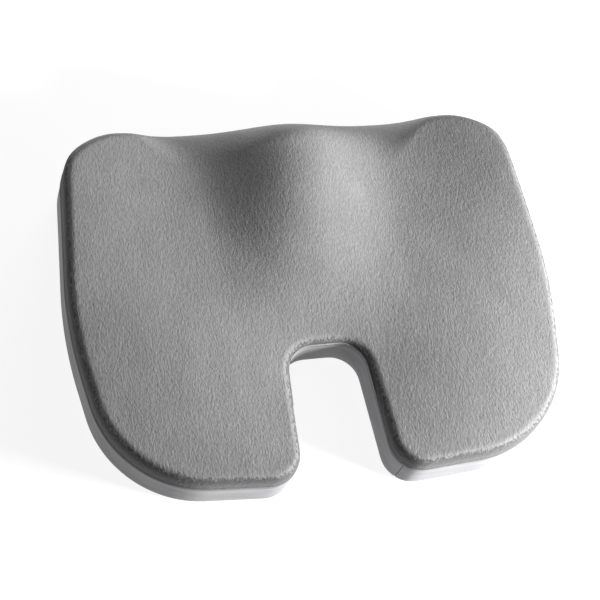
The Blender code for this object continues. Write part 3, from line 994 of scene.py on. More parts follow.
@dataclass
class CoverShell:
    """The whole cover as one closed form, swelled by cloth simulation.

    Its seams and base are pinned, and a light hold keeps it to the foam. It starts slightly small.
    """

    form: SeatForm
    spacing: float = 5.0 * MM
    wall_rows: int = 7
    crown_rows: int = 11
    start_inset: float = 1.0 * MM
    most_move: float = 3.0 * MM
    ironing: int = 14
    pressure: float = 4.0
    hold: float = 0.35
    frames: int = 20
    outline: Outline = field(init=False)
    run: np.ndarray = field(init=False)
    wall: np.ndarray = field(init=False)
    crown: np.ndarray = field(init=False)
    seat: np.ndarray = field(init=False)
    seat_faces: list[tuple[int, ...]] = field(init=False)

    def build(self) -> None:
        """Lay out the cover and swell it."""
        self.outline = self.form.outline()
        count = round(self.outline.length / self.spacing)
        self.run = np.arange(count) * self.outline.length / count
        points, normals = self.outline.at(self.run)
        self.wall = self.spread(self.form.wall(points, normals), self.wall_rows)
        self.crown = self.spread(self.form.crown(points, normals), self.crown_rows)
        plan, self.seat_faces = fill_plan(self.crown[-1, :, :2], self.spacing)
        inner = plan[count:]
        self.seat = np.column_stack([inner, self.form.height(inner[:, 0], inner[:, 1])])
        self.swell()

    def spread(self, lines: np.ndarray, rows: int) -> np.ndarray:
        """Space a number of rows evenly along some lines."""
        return place_along(lines, np.linspace(0, 1, rows)[:, None] * line_lengths(lines)[None, :])

    def swell(self) -> None:
        """Blow the cover up against its seams, and take its new places."""
        count = self.crown.shape[1]
        base_plan, base_faces = fill_plan(self.wall[0, :, :2], 4 * self.spacing)
        base = np.column_stack([base_plan[count:], np.zeros(len(base_plan) - count)])
        rings = np.vstack([*self.wall, *self.crown[1:]])
        points = np.vstack([rings, self.seat, base])
        rows = self.wall_rows + self.crown_rows - 1
        top_rim, top_inner, base_inner = (rows - 1) * count, rows * count, rows * count + len(self.seat)
        faces: list[tuple[int, ...]] = list(grid_faces(rows, count, closed=True))
        for face in self.seat_faces:
            faces.append(tuple(top_rim + i if i < count else top_inner + i - count for i in face))
        for face in base_faces:
            faces.append(tuple(i if i < count else base_inner + i - count for i in face))
        hold = self.holds(points, count, rows)
        moved = self.simulate(points, faces, hold)
        self.wall = moved[: self.wall_rows * count].reshape(self.wall_rows, count, 3)
        first = (self.wall_rows - 1) * count
        self.crown = moved[first : rows * count].reshape(self.crown_rows, count, 3)
        self.seat = moved[top_inner:base_inner]

    def holds(self, points: np.ndarray, count: int, rows: int) -> np.ndarray:
        """How firmly each point is held.

        Args:
            points: The cover's points, ring by ring and then the fillings.
            count: How many points a ring has.
            rows: How many rings there are.

        Returns:
            A weight from the light hold to 1, where a point is pinned.
        """
        hold = np.full(len(points), self.hold)
        hold[:count] = 1.0
        seam = (self.wall_rows - 1) * count
        hold[seam : seam + count] = 1.0
        hold[rows * count + len(self.seat) :] = 1.0
        strip = np.zeros(len(points), bool)
        strip[:seam] = points[:seam, 1] > self.form.depth / 2 - 0.5 * MM
        hold[strip] = 1.0
        return hold

    def simulate(
        self, points: np.ndarray, faces: list[tuple[int, ...]], hold: np.ndarray
    ) -> np.ndarray:
        """Run the cloth, and cap how far any point may move.

        Args:
            points: The cover's points.
            faces: Its faces, closed all round.
            hold: How firmly each point is held.

        Returns:
            The points after the swelling.
        """
        mesh = mesh_from("cover_cloth", points, faces)
        normals = np.empty(len(points) * 3, np.float32)
        mesh.vertex_normals.foreach_get("vector", normals)
        start = points - normals.reshape(-1, 3) * (self.start_inset * (hold < 1))[:, None]
        mesh.vertices.foreach_set("co", start.astype(np.float32).ravel())
        cover = link_object("cover_cloth", mesh)
        group = cover.vertex_groups.new(name="held")
        for level in np.unique(hold):
            group.add(np.flatnonzero(hold == level).tolist(), float(level), "REPLACE")
        cloth = cover.modifiers.new("Swell", "CLOTH")
        cloth.settings.quality = 6
        cloth.settings.mass = 0.15
        cloth.settings.tension_stiffness = 12
        cloth.settings.compression_stiffness = 12
        cloth.settings.shear_stiffness = 6
        cloth.settings.bending_stiffness = 12
        cloth.settings.use_pressure = True
        cloth.settings.uniform_pressure_force = self.pressure
        cloth.settings.effector_weights.gravity = 0.0
        cloth.settings.vertex_group_mass = group.name
        cloth.collision_settings.use_collision = False
        cloth.point_cache.frame_start = 1
        cloth.point_cache.frame_end = self.frames
        scene = bpy.context.scene
        for number in range(1, self.frames + 1):
            scene.frame_set(number)
        graph = bpy.context.evaluated_depsgraph_get()
        swollen = cover.evaluated_get(graph).data
        moved = np.empty(len(points) * 3, np.float32)
        swollen.vertices.foreach_get("co", moved)
        moved = moved.reshape(-1, 3).astype(float)
        bpy.data.objects.remove(cover, do_unlink=True)
        scene.frame_set(1)
        shift = moved - start
        far = np.linalg.norm(shift, axis=1)
        log.info("swelling: middle %.2f mm, most %.2f mm", np.median(far) / MM, far.max() / MM)
        keep = np.minimum(1.0, self.most_move / np.maximum(far, 1e-9))
        return start + self.iron(shift * keep[:, None], faces, hold)

    def iron(self, shift: np.ndarray, faces: list[tuple[int, ...]], hold: np.ndarray) -> np.ndarray:
        """Even out the swelling between neighbours, as taut cloth on foam does.

        Args:
            shift: How far each point has moved.
            faces: The cover's faces.
            hold: How firmly each point is held. Pinned points stay.

        Returns:
            The evened movement.
        """
        pairs = np.array([(f[i], f[(i + 1) % len(f)]) for f in faces for i in range(len(f))])
        count = np.bincount(pairs[:, 0], minlength=len(shift))[:, None]
        for _ in range(self.ironing):
            total = np.zeros_like(shift)
            np.add.at(total, pairs[:, 0], shift[pairs[:, 1]])
            shift = np.where((hold < 1)[:, None], (shift + total / count) / 2, shift)
        return shift

    def wall_at(self, run: np.ndarray) -> np.ndarray:
        """The swollen wall's lines at some distances along the outline.

        Args:
            run: Distances along the outline, which may pass its end.

        Returns:
            The lines, as (rows, distances, 3).
        """
        count = len(self.run)
        where = np.mod(run, self.outline.length) / self.outline.length * count
        low = np.floor(where).astype(int)
        part = (where - low)[None, :, None]
        return self.wall[:, low % count] * (1 - part) + self.wall[:, (low + 1) % count] * part


# --- Sewn panels ---------------------------------------------------------------------------


@dataclass
class PlushTop:
    """The plush panel over the seat, turned in at the seam with the bands."""

    shell: CoverShell
    fabric: float = 2.0 * MM
    seam_depth: float = 1.3 * MM
    lift: float = 0.20 * MM
    levels: int = 2

    def rows(self) -> tuple[np.ndarray, np.ndarray]:
        """The panel's rings from the hem to the seat's rim, and how steep their flanks are.

        Returns:
            The rings, as (rows, points, 3), and the flank steepness from 0 to 1 for each of their points,
            which sets the painted shade on the flanks and the extra pile lift there.
        """
        crown = self.shell.crown
        _, normals = self.shell.outline.at(self.shell.run)
        outward = np.column_stack([normals, np.zeros(len(normals))])
        lengths = line_lengths(crown)
        near = np.array([0.0, 1.1 * MM, 2.7 * MM])
        far = np.linspace(0, 1, len(crown))[1:]
        distances = np.vstack([np.repeat(near[:, None], len(lengths), 1), far[:, None] * lengths[None, :]])
        rings = place_along(crown, distances)
        for ring, shift in zip(rings, (-self.seam_depth, -0.35 * MM, 0.35 * MM)):
            ring += outward * shift
        hem = rings[0] - outward * 0.9 * MM - np.array([0, 0, 2.2 * MM])
        rings = np.concatenate([hem[None], rings])
        # The painted shade on the flanks is weaker along the front edge: the steepness is cut by up to 0.7
        # there.
        on_sides = 1 - 0.7 * self.shell.form.frontness(normals)
        return rings, self.steepness(rings) * on_sides

    def steepness(self, rings: np.ndarray) -> np.ndarray:
        """How upright the surface is along each line of the rings.

        Args:
            rings: The rings, as (rows, points, 3).

        Returns:
            0 where the surface is level and 1 where it is upright, as (rows, points).
        """
        along = np.gradient(rings, axis=0)
        slope = np.abs(along[:, :, 2]) / np.maximum(np.linalg.norm(along, axis=2), 1e-9)
        # The hem and the first rows above it count as upright, so they get the full painted shade.
        slope[:4] = 1.0
        return slope

    def build(self, finish: Finish) -> bpy.types.Object:
        """Make the panel: its dense outer skin with the pile, closed by a plain inner skin.

        Args:
            finish: The plush.

        Returns:
            The finished piece.
        """
        rings, flank_steepness = self.rows()
        count = rings.shape[1]
        points = np.vstack([*rings, self.shell.seat])
        rim = (len(rings) - 1) * count
        faces: list[tuple[int, ...]] = list(grid_faces(len(rings), count, closed=True))
        seat_faces = [tuple(rim + i for i in face) for face in self.shell.seat_faces]
        mesh = mesh_from("plush_top", points, faces + seat_faces)
        # Flank steepness: the mask of the painted shade on the flanks, and of the extra pile lift there.
        upright = mesh.attributes.new("flank_steepness", "FLOAT", "POINT")
        pile = mesh.attributes.new("pile", "FLOAT", "POINT")
        values = np.concatenate([flank_steepness.ravel(), np.zeros(len(self.shell.seat))])
        upright.data.foreach_set("value", values.astype(np.float32))
        loose = np.ones(len(points), np.float32)
        loose[: 2 * count] = 0.0
        pile.data.foreach_set("value", loose)
        piece = link_object("plush_top", mesh)
        smooth = piece.modifiers.new("Smooth", "SUBSURF")
        smooth.levels = smooth.render_levels = self.levels
        material = finish.build()
        self.pile_recipe().run(piece, material)
        self.close(piece, points, faces, seat_faces, count)
        piece.data.shade_smooth()
        dress(piece, material, "cushion", "plush", "top_panel")
        return piece

    def pile_recipe(self) -> GeometryRecipe:
        """The tree that raises the pile in tufts along the nap, more so on the flanks."""
        recipe = GeometryRecipe(
            "PlushPile",
            {
                "Tuft Width": 2.1 * MM,
                "Tuft Length": 5.2 * MM,
                "Lift": self.lift,
                "Flank Lift": 0.35 * MM,
                "Seed": 7.0,
            },
        )
        node, size = recipe.node, recipe.size
        place = node("GeometryNodeInputPosition").outputs[0]
        tuft = node(
            "ShaderNodeCombineXYZ", {0: size("Tuft Width"), 1: size("Tuft Length"), 2: size("Tuft Width")}
        )
        scaled = node("ShaderNodeVectorMath", {0: place, 1: tuft.outputs[0]}, operation="DIVIDE")
        noise = node(
            "ShaderNodeTexNoise",
            {"Vector": scaled.outputs[0], "W": size("Seed"), "Scale": 1.0, "Detail": 2.0, "Distortion": 0.5},
            noise_dimensions="4D",
        )
        height = node("ShaderNodeMath", {0: noise.outputs["Fac"], 1: 2.0, 2: -1.0}, operation="MULTIPLY_ADD")
        flank_steepness = node("GeometryNodeInputNamedAttribute", {"Name": "flank_steepness"}, data_type="FLOAT").outputs[0]
        pile = node("GeometryNodeInputNamedAttribute", {"Name": "pile"}, data_type="FLOAT").outputs[0]
        reach = node(
            "ShaderNodeMath", {0: flank_steepness, 1: size("Flank Lift"), 2: size("Lift")}, operation="MULTIPLY_ADD"
        )
        reach = node("ShaderNodeMath", {0: reach.outputs[0], 1: pile}, operation="MULTIPLY")
        shift = node("ShaderNodeMath", {0: height.outputs[0], 1: reach.outputs[0]}, operation="MULTIPLY")
        normal = node("GeometryNodeInputNormal").outputs[0]
        offset = node("ShaderNodeVectorMath", {0: normal, "Scale": shift.outputs[0]}, operation="SCALE")
        raised = node(
            "GeometryNodeSetPosition",
            {"Geometry": recipe.given.outputs["Geometry"], "Offset": offset.outputs[0]},
        )
        recipe.end(raised.outputs[0])
        return recipe

    def close(
        self,
        piece: bpy.types.Object,
        points: np.ndarray,
        faces: list[tuple[int, ...]],
        seat_faces: list[tuple[int, ...]],
        count: int,
    ) -> None:
        """Line the dense skin with a plain one a fabric's thickness inside it.

        Args:
            piece: The panel with its dense skin, open at the hem.
            points: The panel's points before it was made dense, ring by ring.
            faces: The quads between the rings.
            seat_faces: The triangles of the seat.
            count: How many points a ring has.
        """
        plain = mesh_from("plush_lining", points, faces + seat_faces)
        normals = np.empty(len(points) * 3, np.float32)
        plain.vertex_normals.foreach_get("vector", normals)
        inside = points - normals.reshape(-1, 3) * self.fabric
        _, outward = self.shell.outline.at(self.shell.run)
        inside[:count] = points[:count] - np.column_stack([outward, np.zeros(count)]) * 0.5 * MM
        bpy.data.meshes.remove(plain)
        bm = bmesh.new()
        bm.from_mesh(piece.data)
        loop = self.hem_loop(bm, points[0])
        stride = len(loop) // count
        lining = [bm.verts.new(p) for p in inside]
        for i in range(count):
            j = (i + 1) % count
            outer = [loop[(i * stride + k) % len(loop)] for k in range(stride + 1)]
            half = stride // 2
            for k in range(stride):
                bm.faces.new((outer[k], outer[k + 1], lining[i] if k < half else lining[j]))
            bm.faces.new((outer[half], lining[j], lining[i]))
        for face in faces + seat_faces:
            bm.faces.new([lining[i] for i in face])
        bmesh.ops.recalc_face_normals(bm, faces=bm.faces)
        bm.to_mesh(piece.data)
        bm.free()

    def hem_loop(self, bm: bmesh.types.BMesh, first: np.ndarray) -> list[bmesh.types.BMVert]:
        """The open edge of the dense skin, in the rings' order, from the ring's first point.

        Args:
            bm: The dense skin.
            first: The first point of the hem's ring.

        Returns:
            The vertices of the open edge.
        """
        edges = [e for e in bm.edges if e.is_boundary]
        verts = {v for e in edges for v in e.verts}
        start = min(verts, key=lambda v: (v.co - Vector(first)).length)
        ahead = Vector(self.shell.crown[0, 1]) - Vector(self.shell.crown[0, 0])
        ways = [e.other_vert(start) for e in start.link_edges if e.is_boundary]
        current = max(ways, key=lambda v: (v.co - start.co).dot(ahead))
        loop, previous = [start], start
        while current is not start:
            loop.append(current)
            following = [e.other_vert(current) for e in current.link_edges if e.is_boundary]
            previous, current = current, next(v for v in following if v is not previous)
        return loop


class BandPlace(Enum):
    """The three bands round the wall: name, node, and the outline's corners at its two ends."""

    RIGHT = ("velour_band_right", "side_band_right", None, 3)
    NOTCH = ("velour_band_notch", "notch_band", 3, 6)
    LEFT = ("velour_band_left", "side_band_left", 6, None)


@dataclass
class WallBand:
    """A velour band of the wall between the base seam and the top seam."""

    shell: CoverShell
    place: BandPlace
    zip_end: float
    fabric: float = 1.4 * MM
    column: float = 3.2 * MM
    seam_depth: float = 1.0 * MM
    puff: float = 0.55 * MM

    def span(self) -> Point2:
        """The distances along the outline where the band starts and ends."""
        outline = self.shell.outline
        _, _, first, last = self.place.value
        front_y = self.shell.form.depth / 2
        start = outline.nearest(self.zip_end, front_y) if first is None else outline.arc_middles[first]
        end = outline.nearest(-self.zip_end, front_y) if last is None else outline.arc_middles[last]
        if start > end:
            start -= outline.length
        return start, end

    def seam_dip(self, distance: np.ndarray) -> np.ndarray:
        """How far the cloth is pulled in near a seam, and how it swells just beyond it."""
        return -self.seam_depth * np.exp(-((distance / (1.1 * MM)) ** 2)) + self.puff * (
            1 - np.exp(-((distance / (5 * MM)) ** 2))
        )

    def build(self, finish: bpy.types.Material) -> bpy.types.Object:
        """Args:
            finish: The velour.

        Returns:
            The finished piece.
        """
        start, end = self.span()
        inner = np.linspace(start + 2.6 * MM, end - 2.6 * MM, round((end - start) / self.column))
        run = np.concatenate([[start, start + 1.0 * MM], inner, [end - 1.0 * MM, end]])
        wall = self.shell.wall_at(run)
        lengths = line_lengths(wall)
        near = np.array([0.0, 1.0 * MM, 2.5 * MM])
        middle = np.linspace(0, 1, 9)[1:-1]
        distances = np.vstack(
            [
                np.repeat(near[:, None], len(run), 1),
                near[-1] + middle[:, None] * (lengths - 2 * near[-1])[None, :],
                lengths[None, :] - near[::-1][:, None],
            ]
        )
        grid = place_along(wall, distances)
        tangent, up = np.gradient(grid, axis=1), np.gradient(grid, axis=0)
        normal = np.cross(tangent, up)
        normal /= np.linalg.norm(normal, axis=2, keepdims=True)
        _, outward = self.shell.outline.at(run)
        facing = np.sum(normal[-2, :, :2] * outward, axis=1).mean()
        normal *= 1.0 if facing > 0 else -1.0
        to_edge = np.minimum(distances, lengths[None, :] - distances)
        to_end = np.minimum(run - start, end - run)
        shift = np.minimum(self.seam_dip(to_edge), 0.3 * self.seam_dip(to_end)[None, :])
        grid = grid + normal * shift[:, :, None]
        return self.sew(grid, finish)

    def sew(
        self, grid: np.ndarray, finish: bpy.types.Material
    ) -> bpy.types.Object:
        """Turn the band's grid into a finished strip.

        Args:
            grid: Its points, as (rows, columns, 3).
            finish: The velour.

        Returns:
            The finished piece.
        """
        name, node, _, _ = self.place.value
        rows, columns = grid.shape[:2]
        mesh = mesh_from(name, grid.reshape(-1, 3), grid_faces(rows, columns, closed=False), False)
        piece = link_object(name, mesh)
        wall = piece.modifiers.new("Cloth", "SOLIDIFY")
        wall.thickness = self.fabric
        wall.offset = -1.0 if self.faces_out(mesh) else 1.0
        smooth = piece.modifiers.new("Smooth", "SUBSURF")
        smooth.levels = smooth.render_levels = 1
        bake_modifiers(piece)
        turn_outwards(piece.data)
        dress(piece, finish, "cushion", "side_velour", node)
        return piece

    def faces_out(self, mesh: bpy.types.Mesh) -> bool:
        """Whether the open strip's faces point away from the cushion."""
        middle = mesh.polygons[len(mesh.polygons) // 2]
        _, outward = self.shell.outline.at(
            np.array([self.shell.outline.nearest(middle.center.x, middle.center.y)])
        )
        return middle.normal.x * outward[0, 0] + middle.normal.y * outward[0, 1] > 0


def turn_outwards(mesh: bpy.types.Mesh) -> None:
    """Turn a closed mesh's faces outwards and shade it smooth."""
    bm = bmesh.new()
    bm.from_mesh(mesh)
    bmesh.ops.recalc_face_normals(bm, faces=bm.faces)
    bm.to_mesh(mesh)
    bm.free()
    mesh.shade_smooth()


def sweep_section(
    name: str, sections: Sequence[Sequence[Sequence[float]]], levels: int = 1
) -> bpy.types.Object:
    """Join closed sections into a bar with flat ends.

    Args:
        name: The object's name.
        sections: Rings of points, each as (x, y, z).
        levels: How often it is subdivided.

    Returns:
        The object, with a plain closed mesh.
    """
    count = len(sections[0])
    points = [p for ring in sections for p in ring]
    faces: list[tuple[int, ...]] = list(grid_faces(len(sections), count, closed=True))
    faces.append(tuple(range(count)))
    faces.append(tuple(range(len(points) - count, len(points))))
    piece = link_object(name, mesh_from(name, points, faces))
    if levels:
        smooth = piece.modifiers.new("Smooth", "SUBSURF")
        smooth.levels = smooth.render_levels = levels
        bake_modifiers(piece)
    piece.data.shade_smooth()
    return piece


@dataclass
class FoamBlock:
    """The moulded foam that fills the cover, a little inside it, with room for the zip."""

    shell: CoverShell
    clearance: float = 3.6 * MM
    zip_pocket: float = 5.6 * MM

    def build(self, finish: Finish) -> bpy.types.Object:
        """Make the block as one closed form.

        Args:
            finish: The foam.

        Returns:
            The finished piece.
        """
        shell = self.shell
        count = shell.crown.shape[1]
        base_plan, base_faces = fill_plan(shell.wall[0, :, :2], 4 * shell.spacing)
        base = np.column_stack([base_plan[count:], np.zeros(len(base_plan) - count)])
        points = np.vstack([*shell.wall, *shell.crown[1:], shell.seat, base])
        rows = shell.wall_rows + shell.crown_rows - 1
        rim, inner, under = (rows - 1) * count, rows * count, rows * count + len(shell.seat)
        faces: list[tuple[int, ...]] = list(grid_faces(rows, count, closed=True))
        faces += [tuple(rim + i if i < count else inner + i - count for i in f) for f in shell.seat_faces]
        faces += [tuple(i if i < count else under + i - count for i in f) for f in base_faces]
        mesh = mesh_from("foam_block", points, faces)
        normals = np.empty(len(points) * 3, np.float32)
        mesh.vertex_normals.foreach_get("vector", normals)
        front_y = shell.form.depth / 2
        behind_zip = (points[:, 1] > front_y - 2 * MM) & (points[:, 2] > 3 * MM) & (points[:, 2] < 28 * MM)
        inset = np.where(behind_zip, self.zip_pocket, self.clearance)
        moved = points - normals.reshape(-1, 3) * inset[:, None]
        mesh.vertices.foreach_set("co", moved.astype(np.float32).ravel())
        piece = link_object("foam_block", mesh)
        dress(piece, finish.build(), "cushion", "memory_foam", "foam_core")
        return piece


@dataclass
class GripBase:
    """The anti-slip base: a knitted panel with a grid of rubber dots under it."""

    shell: CoverShell
    cloth_top: float = 1.7 * MM
    cloth_low: float = 0.8 * MM
    dot_radius: float = 1.7 * MM
    dot_pitch: float = 8.0 * MM
    margin: float = 6.0 * MM

    def build(self, knit: Finish, rubber: Finish) -> None:
        """Make the panel and its dots.

        Args:
            knit: The panel's cloth.
            rubber: The dots' rubber.
        """
        outline = self.shell.outline
        points, normals = outline.at(self.shell.run)
        seam = self.shell.form.base_roll
        rings = []
        for inset, z in (
            (seam + 4.0 * MM, self.cloth_top),
            (seam - 0.2 * MM, self.cloth_top + 0.6 * MM),
            (seam - 0.6 * MM, self.cloth_low + 1.1 * MM),
            (seam + 1.4 * MM, self.cloth_low),
            (seam + 4.0 * MM, self.cloth_low),
        ):
            rings.append(np.column_stack([points - normals * inset, np.full(len(points), z)]))
        count = len(points)
        plan, plan_faces = fill_plan(rings[0][:, :2], 3 * self.shell.spacing)
        inner = plan[count:]
        upper = np.column_stack([inner, np.full(len(inner), self.cloth_top)])
        lower = np.column_stack([inner, np.full(len(inner), self.cloth_low)])
        cloth = np.vstack([*rings, upper, lower])
        last, above, below = 4 * count, 5 * count, 5 * count + len(inner)
        faces: list[tuple[int, ...]] = list(grid_faces(5, count, closed=True))
        faces += [tuple(i if i < count else above + i - count for i in f) for f in plan_faces]
        faces += [tuple(last + i if i < count else below + i - count for i in f) for f in plan_faces]
        panel = link_object("grip_cloth", mesh_from("grip_cloth", cloth, faces))
        dress(panel, knit.build(), "cushion", "anti_slip_base", "base_panel")
        self.add_dots(rings[1][:, :2], rubber)

    def add_dots(self, rim: np.ndarray, rubber: Finish) -> None:
        """Print the dots in staggered rows inside the panel's seam.

        Args:
            rim: The panel's edge in plan.
            rubber: The dots' rubber.
        """
        plan, _ = fill_plan(rim, self.dot_pitch)
        inside = [p for p in plan[len(rim) :] if np.min(np.sum((rim - p) ** 2, 1)) > self.margin**2]
        inside = [p for p in inside if self.contains(rim, p)]
        seeds = mesh_from("grip_dots", [(x, y, self.cloth_low) for x, y in inside], [])
        dots = link_object("grip_dots", seeds)
        recipe = GeometryRecipe("GripDots", {"Dot Radius": self.dot_radius, "Dot Height": self.cloth_low})
        ball = recipe.node(
            "GeometryNodeMeshUVSphere", {"Segments": 9, "Rings": 4, "Radius": recipe.size("Dot Radius")}
        )
        squat = recipe.node(
            "ShaderNodeMath", {0: recipe.size("Dot Height"), 1: recipe.size("Dot Radius")}, operation="DIVIDE"
        )
        scale = recipe.node("ShaderNodeCombineXYZ", {0: 1.0, 1: 1.0, 2: squat.outputs[0]})
        shape = recipe.node("GeometryNodeTransform", {"Geometry": ball.outputs[0], "Scale": scale.outputs[0]})
        spread = recipe.node(
            "GeometryNodeInstanceOnPoints",
            {"Points": recipe.given.outputs["Geometry"], "Instance": shape.outputs[0]},
        )
        recipe.end(spread.outputs[0])
        material = rubber.build()
        recipe.run(dots, material)
        dress(dots, material, "cushion", "anti_slip_base")

    def contains(self, rim: np.ndarray, place: np.ndarray) -> bool:
        """Whether a place lies inside an outline in plan."""
        x, y = place
        ahead = np.roll(rim, -1, axis=0)
        spans = (rim[:, 1] > y) != (ahead[:, 1] > y)
        slope = (ahead[:, 0] - rim[:, 0]) / np.where(spans, ahead[:, 1] - rim[:, 1], 1.0)
        return bool(np.sum(spans & (x < rim[:, 0] + (y - rim[:, 1]) * slope)) % 2)


# --- Zip -----------------------------------------------------------------------------------


@dataclass
class FrontStrips:
    """The velour strips above and below the zip, each folded in along it and topstitched."""

    end: float
    front_y: float
    seam_z: float
    upper_low: float
    lower_high: float
    base_roll: float = 5.0 * MM
    fabric: float = 0.8 * MM
    step: float = 2.4 * MM
    stitch_inset: float = 2.2 * MM

    def sections(self, path: Sequence[Point2]) -> list[list[tuple[float, float, float]]]:
        """Sweep a path of cloth along the front, with faint puckers from the stitching.

        Args:
            path: The middle of the cloth, as (y, z) points. Its y is from the wall's face.

        Returns:
            The closed rings of the strip.
        """
        line = np.array(path)
        along = np.gradient(line, axis=0)
        along /= np.linalg.norm(along, axis=1, keepdims=True)
        side = np.column_stack([-along[:, 1], along[:, 0]]) * self.fabric / 2
        ring = np.vstack([line + side, (line - side)[::-1]])
        count = round(2 * self.end / self.step)
        rings = []
        for x in np.linspace(-self.end, self.end, count + 1):
            pucker = 0.07 * MM * math.sin(x / (1.1 * MM)) + 0.05 * MM * math.sin(x / (2.7 * MM) + 1)
            rings.append([(x, self.front_y + y + (pucker if y > -1 * MM else 0), z) for y, z in ring])
        return rings

    def turn_in(self, edge: float, side: int) -> list[Point2]:
        """The path of the cloth from the topstitching round the fold beside the zip.

        Args:
            edge: The height of the fold's outer edge.
            side: 1 if the strip lies above its fold, and -1 below it.

        Returns:
            The path's points, from the front layer to the back one.
        """
        front, back, stitch = -self.fabric / 2, -self.fabric * 1.9, self.stitch_inset
        middle, bend = (front + back) / 2, (front - back) / 2
        level = edge + side * (bend + self.fabric / 2)
        path = [
            (front, edge + side * (stitch + 0.8 * MM)),
            (front - 0.35 * MM, edge + side * stitch),
            (front, edge + side * (stitch - 0.7 * MM)),
        ]
        for angle in (0, 45, 90, 135, 180):
            turn = math.radians(angle)
            path.append((middle + bend * math.cos(turn), level - side * bend * math.sin(turn)))
        return path + [(back, edge + side * 2.6 * MM)]

    def build(self, velour: bpy.types.Material) -> None:
        """Args:
            velour: Their material.
        """
        top, roll = self.seam_z, self.base_roll
        upper = [(-2.2 * MM, top + 0.1 * MM), (-1.1 * MM, top - 0.5 * MM), (-0.4 * MM, top - 1.3 * MM)]
        lower = [
            (-roll - 0.1 * MM, 1.5 * MM),
            (-roll + 0.9 * MM, 0.85 * MM),
            (-roll * 0.5, 1.0 * MM),
            (-1.1 * MM, 2.5 * MM),
            (-0.5 * MM, 4.6 * MM),
        ]
        for word, path in (
            ("upper", upper + self.turn_in(self.upper_low, 1)),
            ("lower", lower + self.turn_in(self.lower_high, -1) + [(-1.7 * MM, 4.0 * MM)]),
        ):
            piece = sweep_section(f"velour_strip_{word}", self.sections(path))
            dress(piece, velour, "cushion", "side_velour", f"front_strip_{word}")
            cut = float(np.linalg.norm(np.diff(np.array(path), axis=0), axis=1).sum())


@dataclass
class Stitching:
    """Rows of lockstitch: single stitches of thread, laid end to end along a line."""

    pitch: float = 3.2 * MM
    thread: float = 0.42 * MM

    def build(
        self, name: str, rows: Sequence[Sequence[Point3]], material: bpy.types.Material, slot: str
    ) -> bpy.types.Object:
        """Sew along some lines.

        Args:
            name: The piece's name.
            rows: The points of each line.
            material: The thread.
            slot: The slot name, passed on to dress.

        Returns:
            The finished piece.
        """
        points, edges = [], []
        for row in rows:
            edges += [(len(points) + i, len(points) + i + 1) for i in range(len(row) - 1)]
            points += row
        mesh = bpy.data.meshes.new(name)
        mesh.from_pydata([tuple(p) for p in points], edges, [])
        piece = link_object(name, mesh)
        self.recipe().run(piece, material)
        return dress(piece, material, "cushion", slot)

    def recipe(self) -> GeometryRecipe:
        """The tree that turns lines into stitches."""
        recipe = GeometryRecipe("Lockstitch", {"Pitch": self.pitch, "Thread": self.thread})
        node, size = recipe.node, recipe.size
        curve = node("GeometryNodeMeshToCurve", {0: recipe.given.outputs["Geometry"]})
        dotted = node(
            "GeometryNodeResampleCurve", {"Curve": curve.outputs[0], "Length": size("Pitch")}, mode="LENGTH"
        )
        stitch = node("GeometryNodeMeshUVSphere", {"Segments": 6, "Rings": 5, "Radius": 0.5})
        long = node("ShaderNodeMath", {0: size("Pitch"), 1: 0.86}, operation="MULTIPLY")
        scale = node("ShaderNodeCombineXYZ", {0: size("Thread"), 1: size("Thread"), 2: long.outputs[0]})
        tangent = node("GeometryNodeInputTangent")
        turned = node(
            "FunctionNodeAlignRotationToVector", {"Vector": tangent.outputs[0]}, axis="Z"
        )
        sewn = node(
            "GeometryNodeInstanceOnPoints",
            {
                "Points": dotted.outputs[0],
                "Instance": stitch.outputs[0],
                "Rotation": turned.outputs[0],
                "Scale": scale.outputs[0],
            },
        )
        recipe.end(sewn.outputs[0])
        return recipe




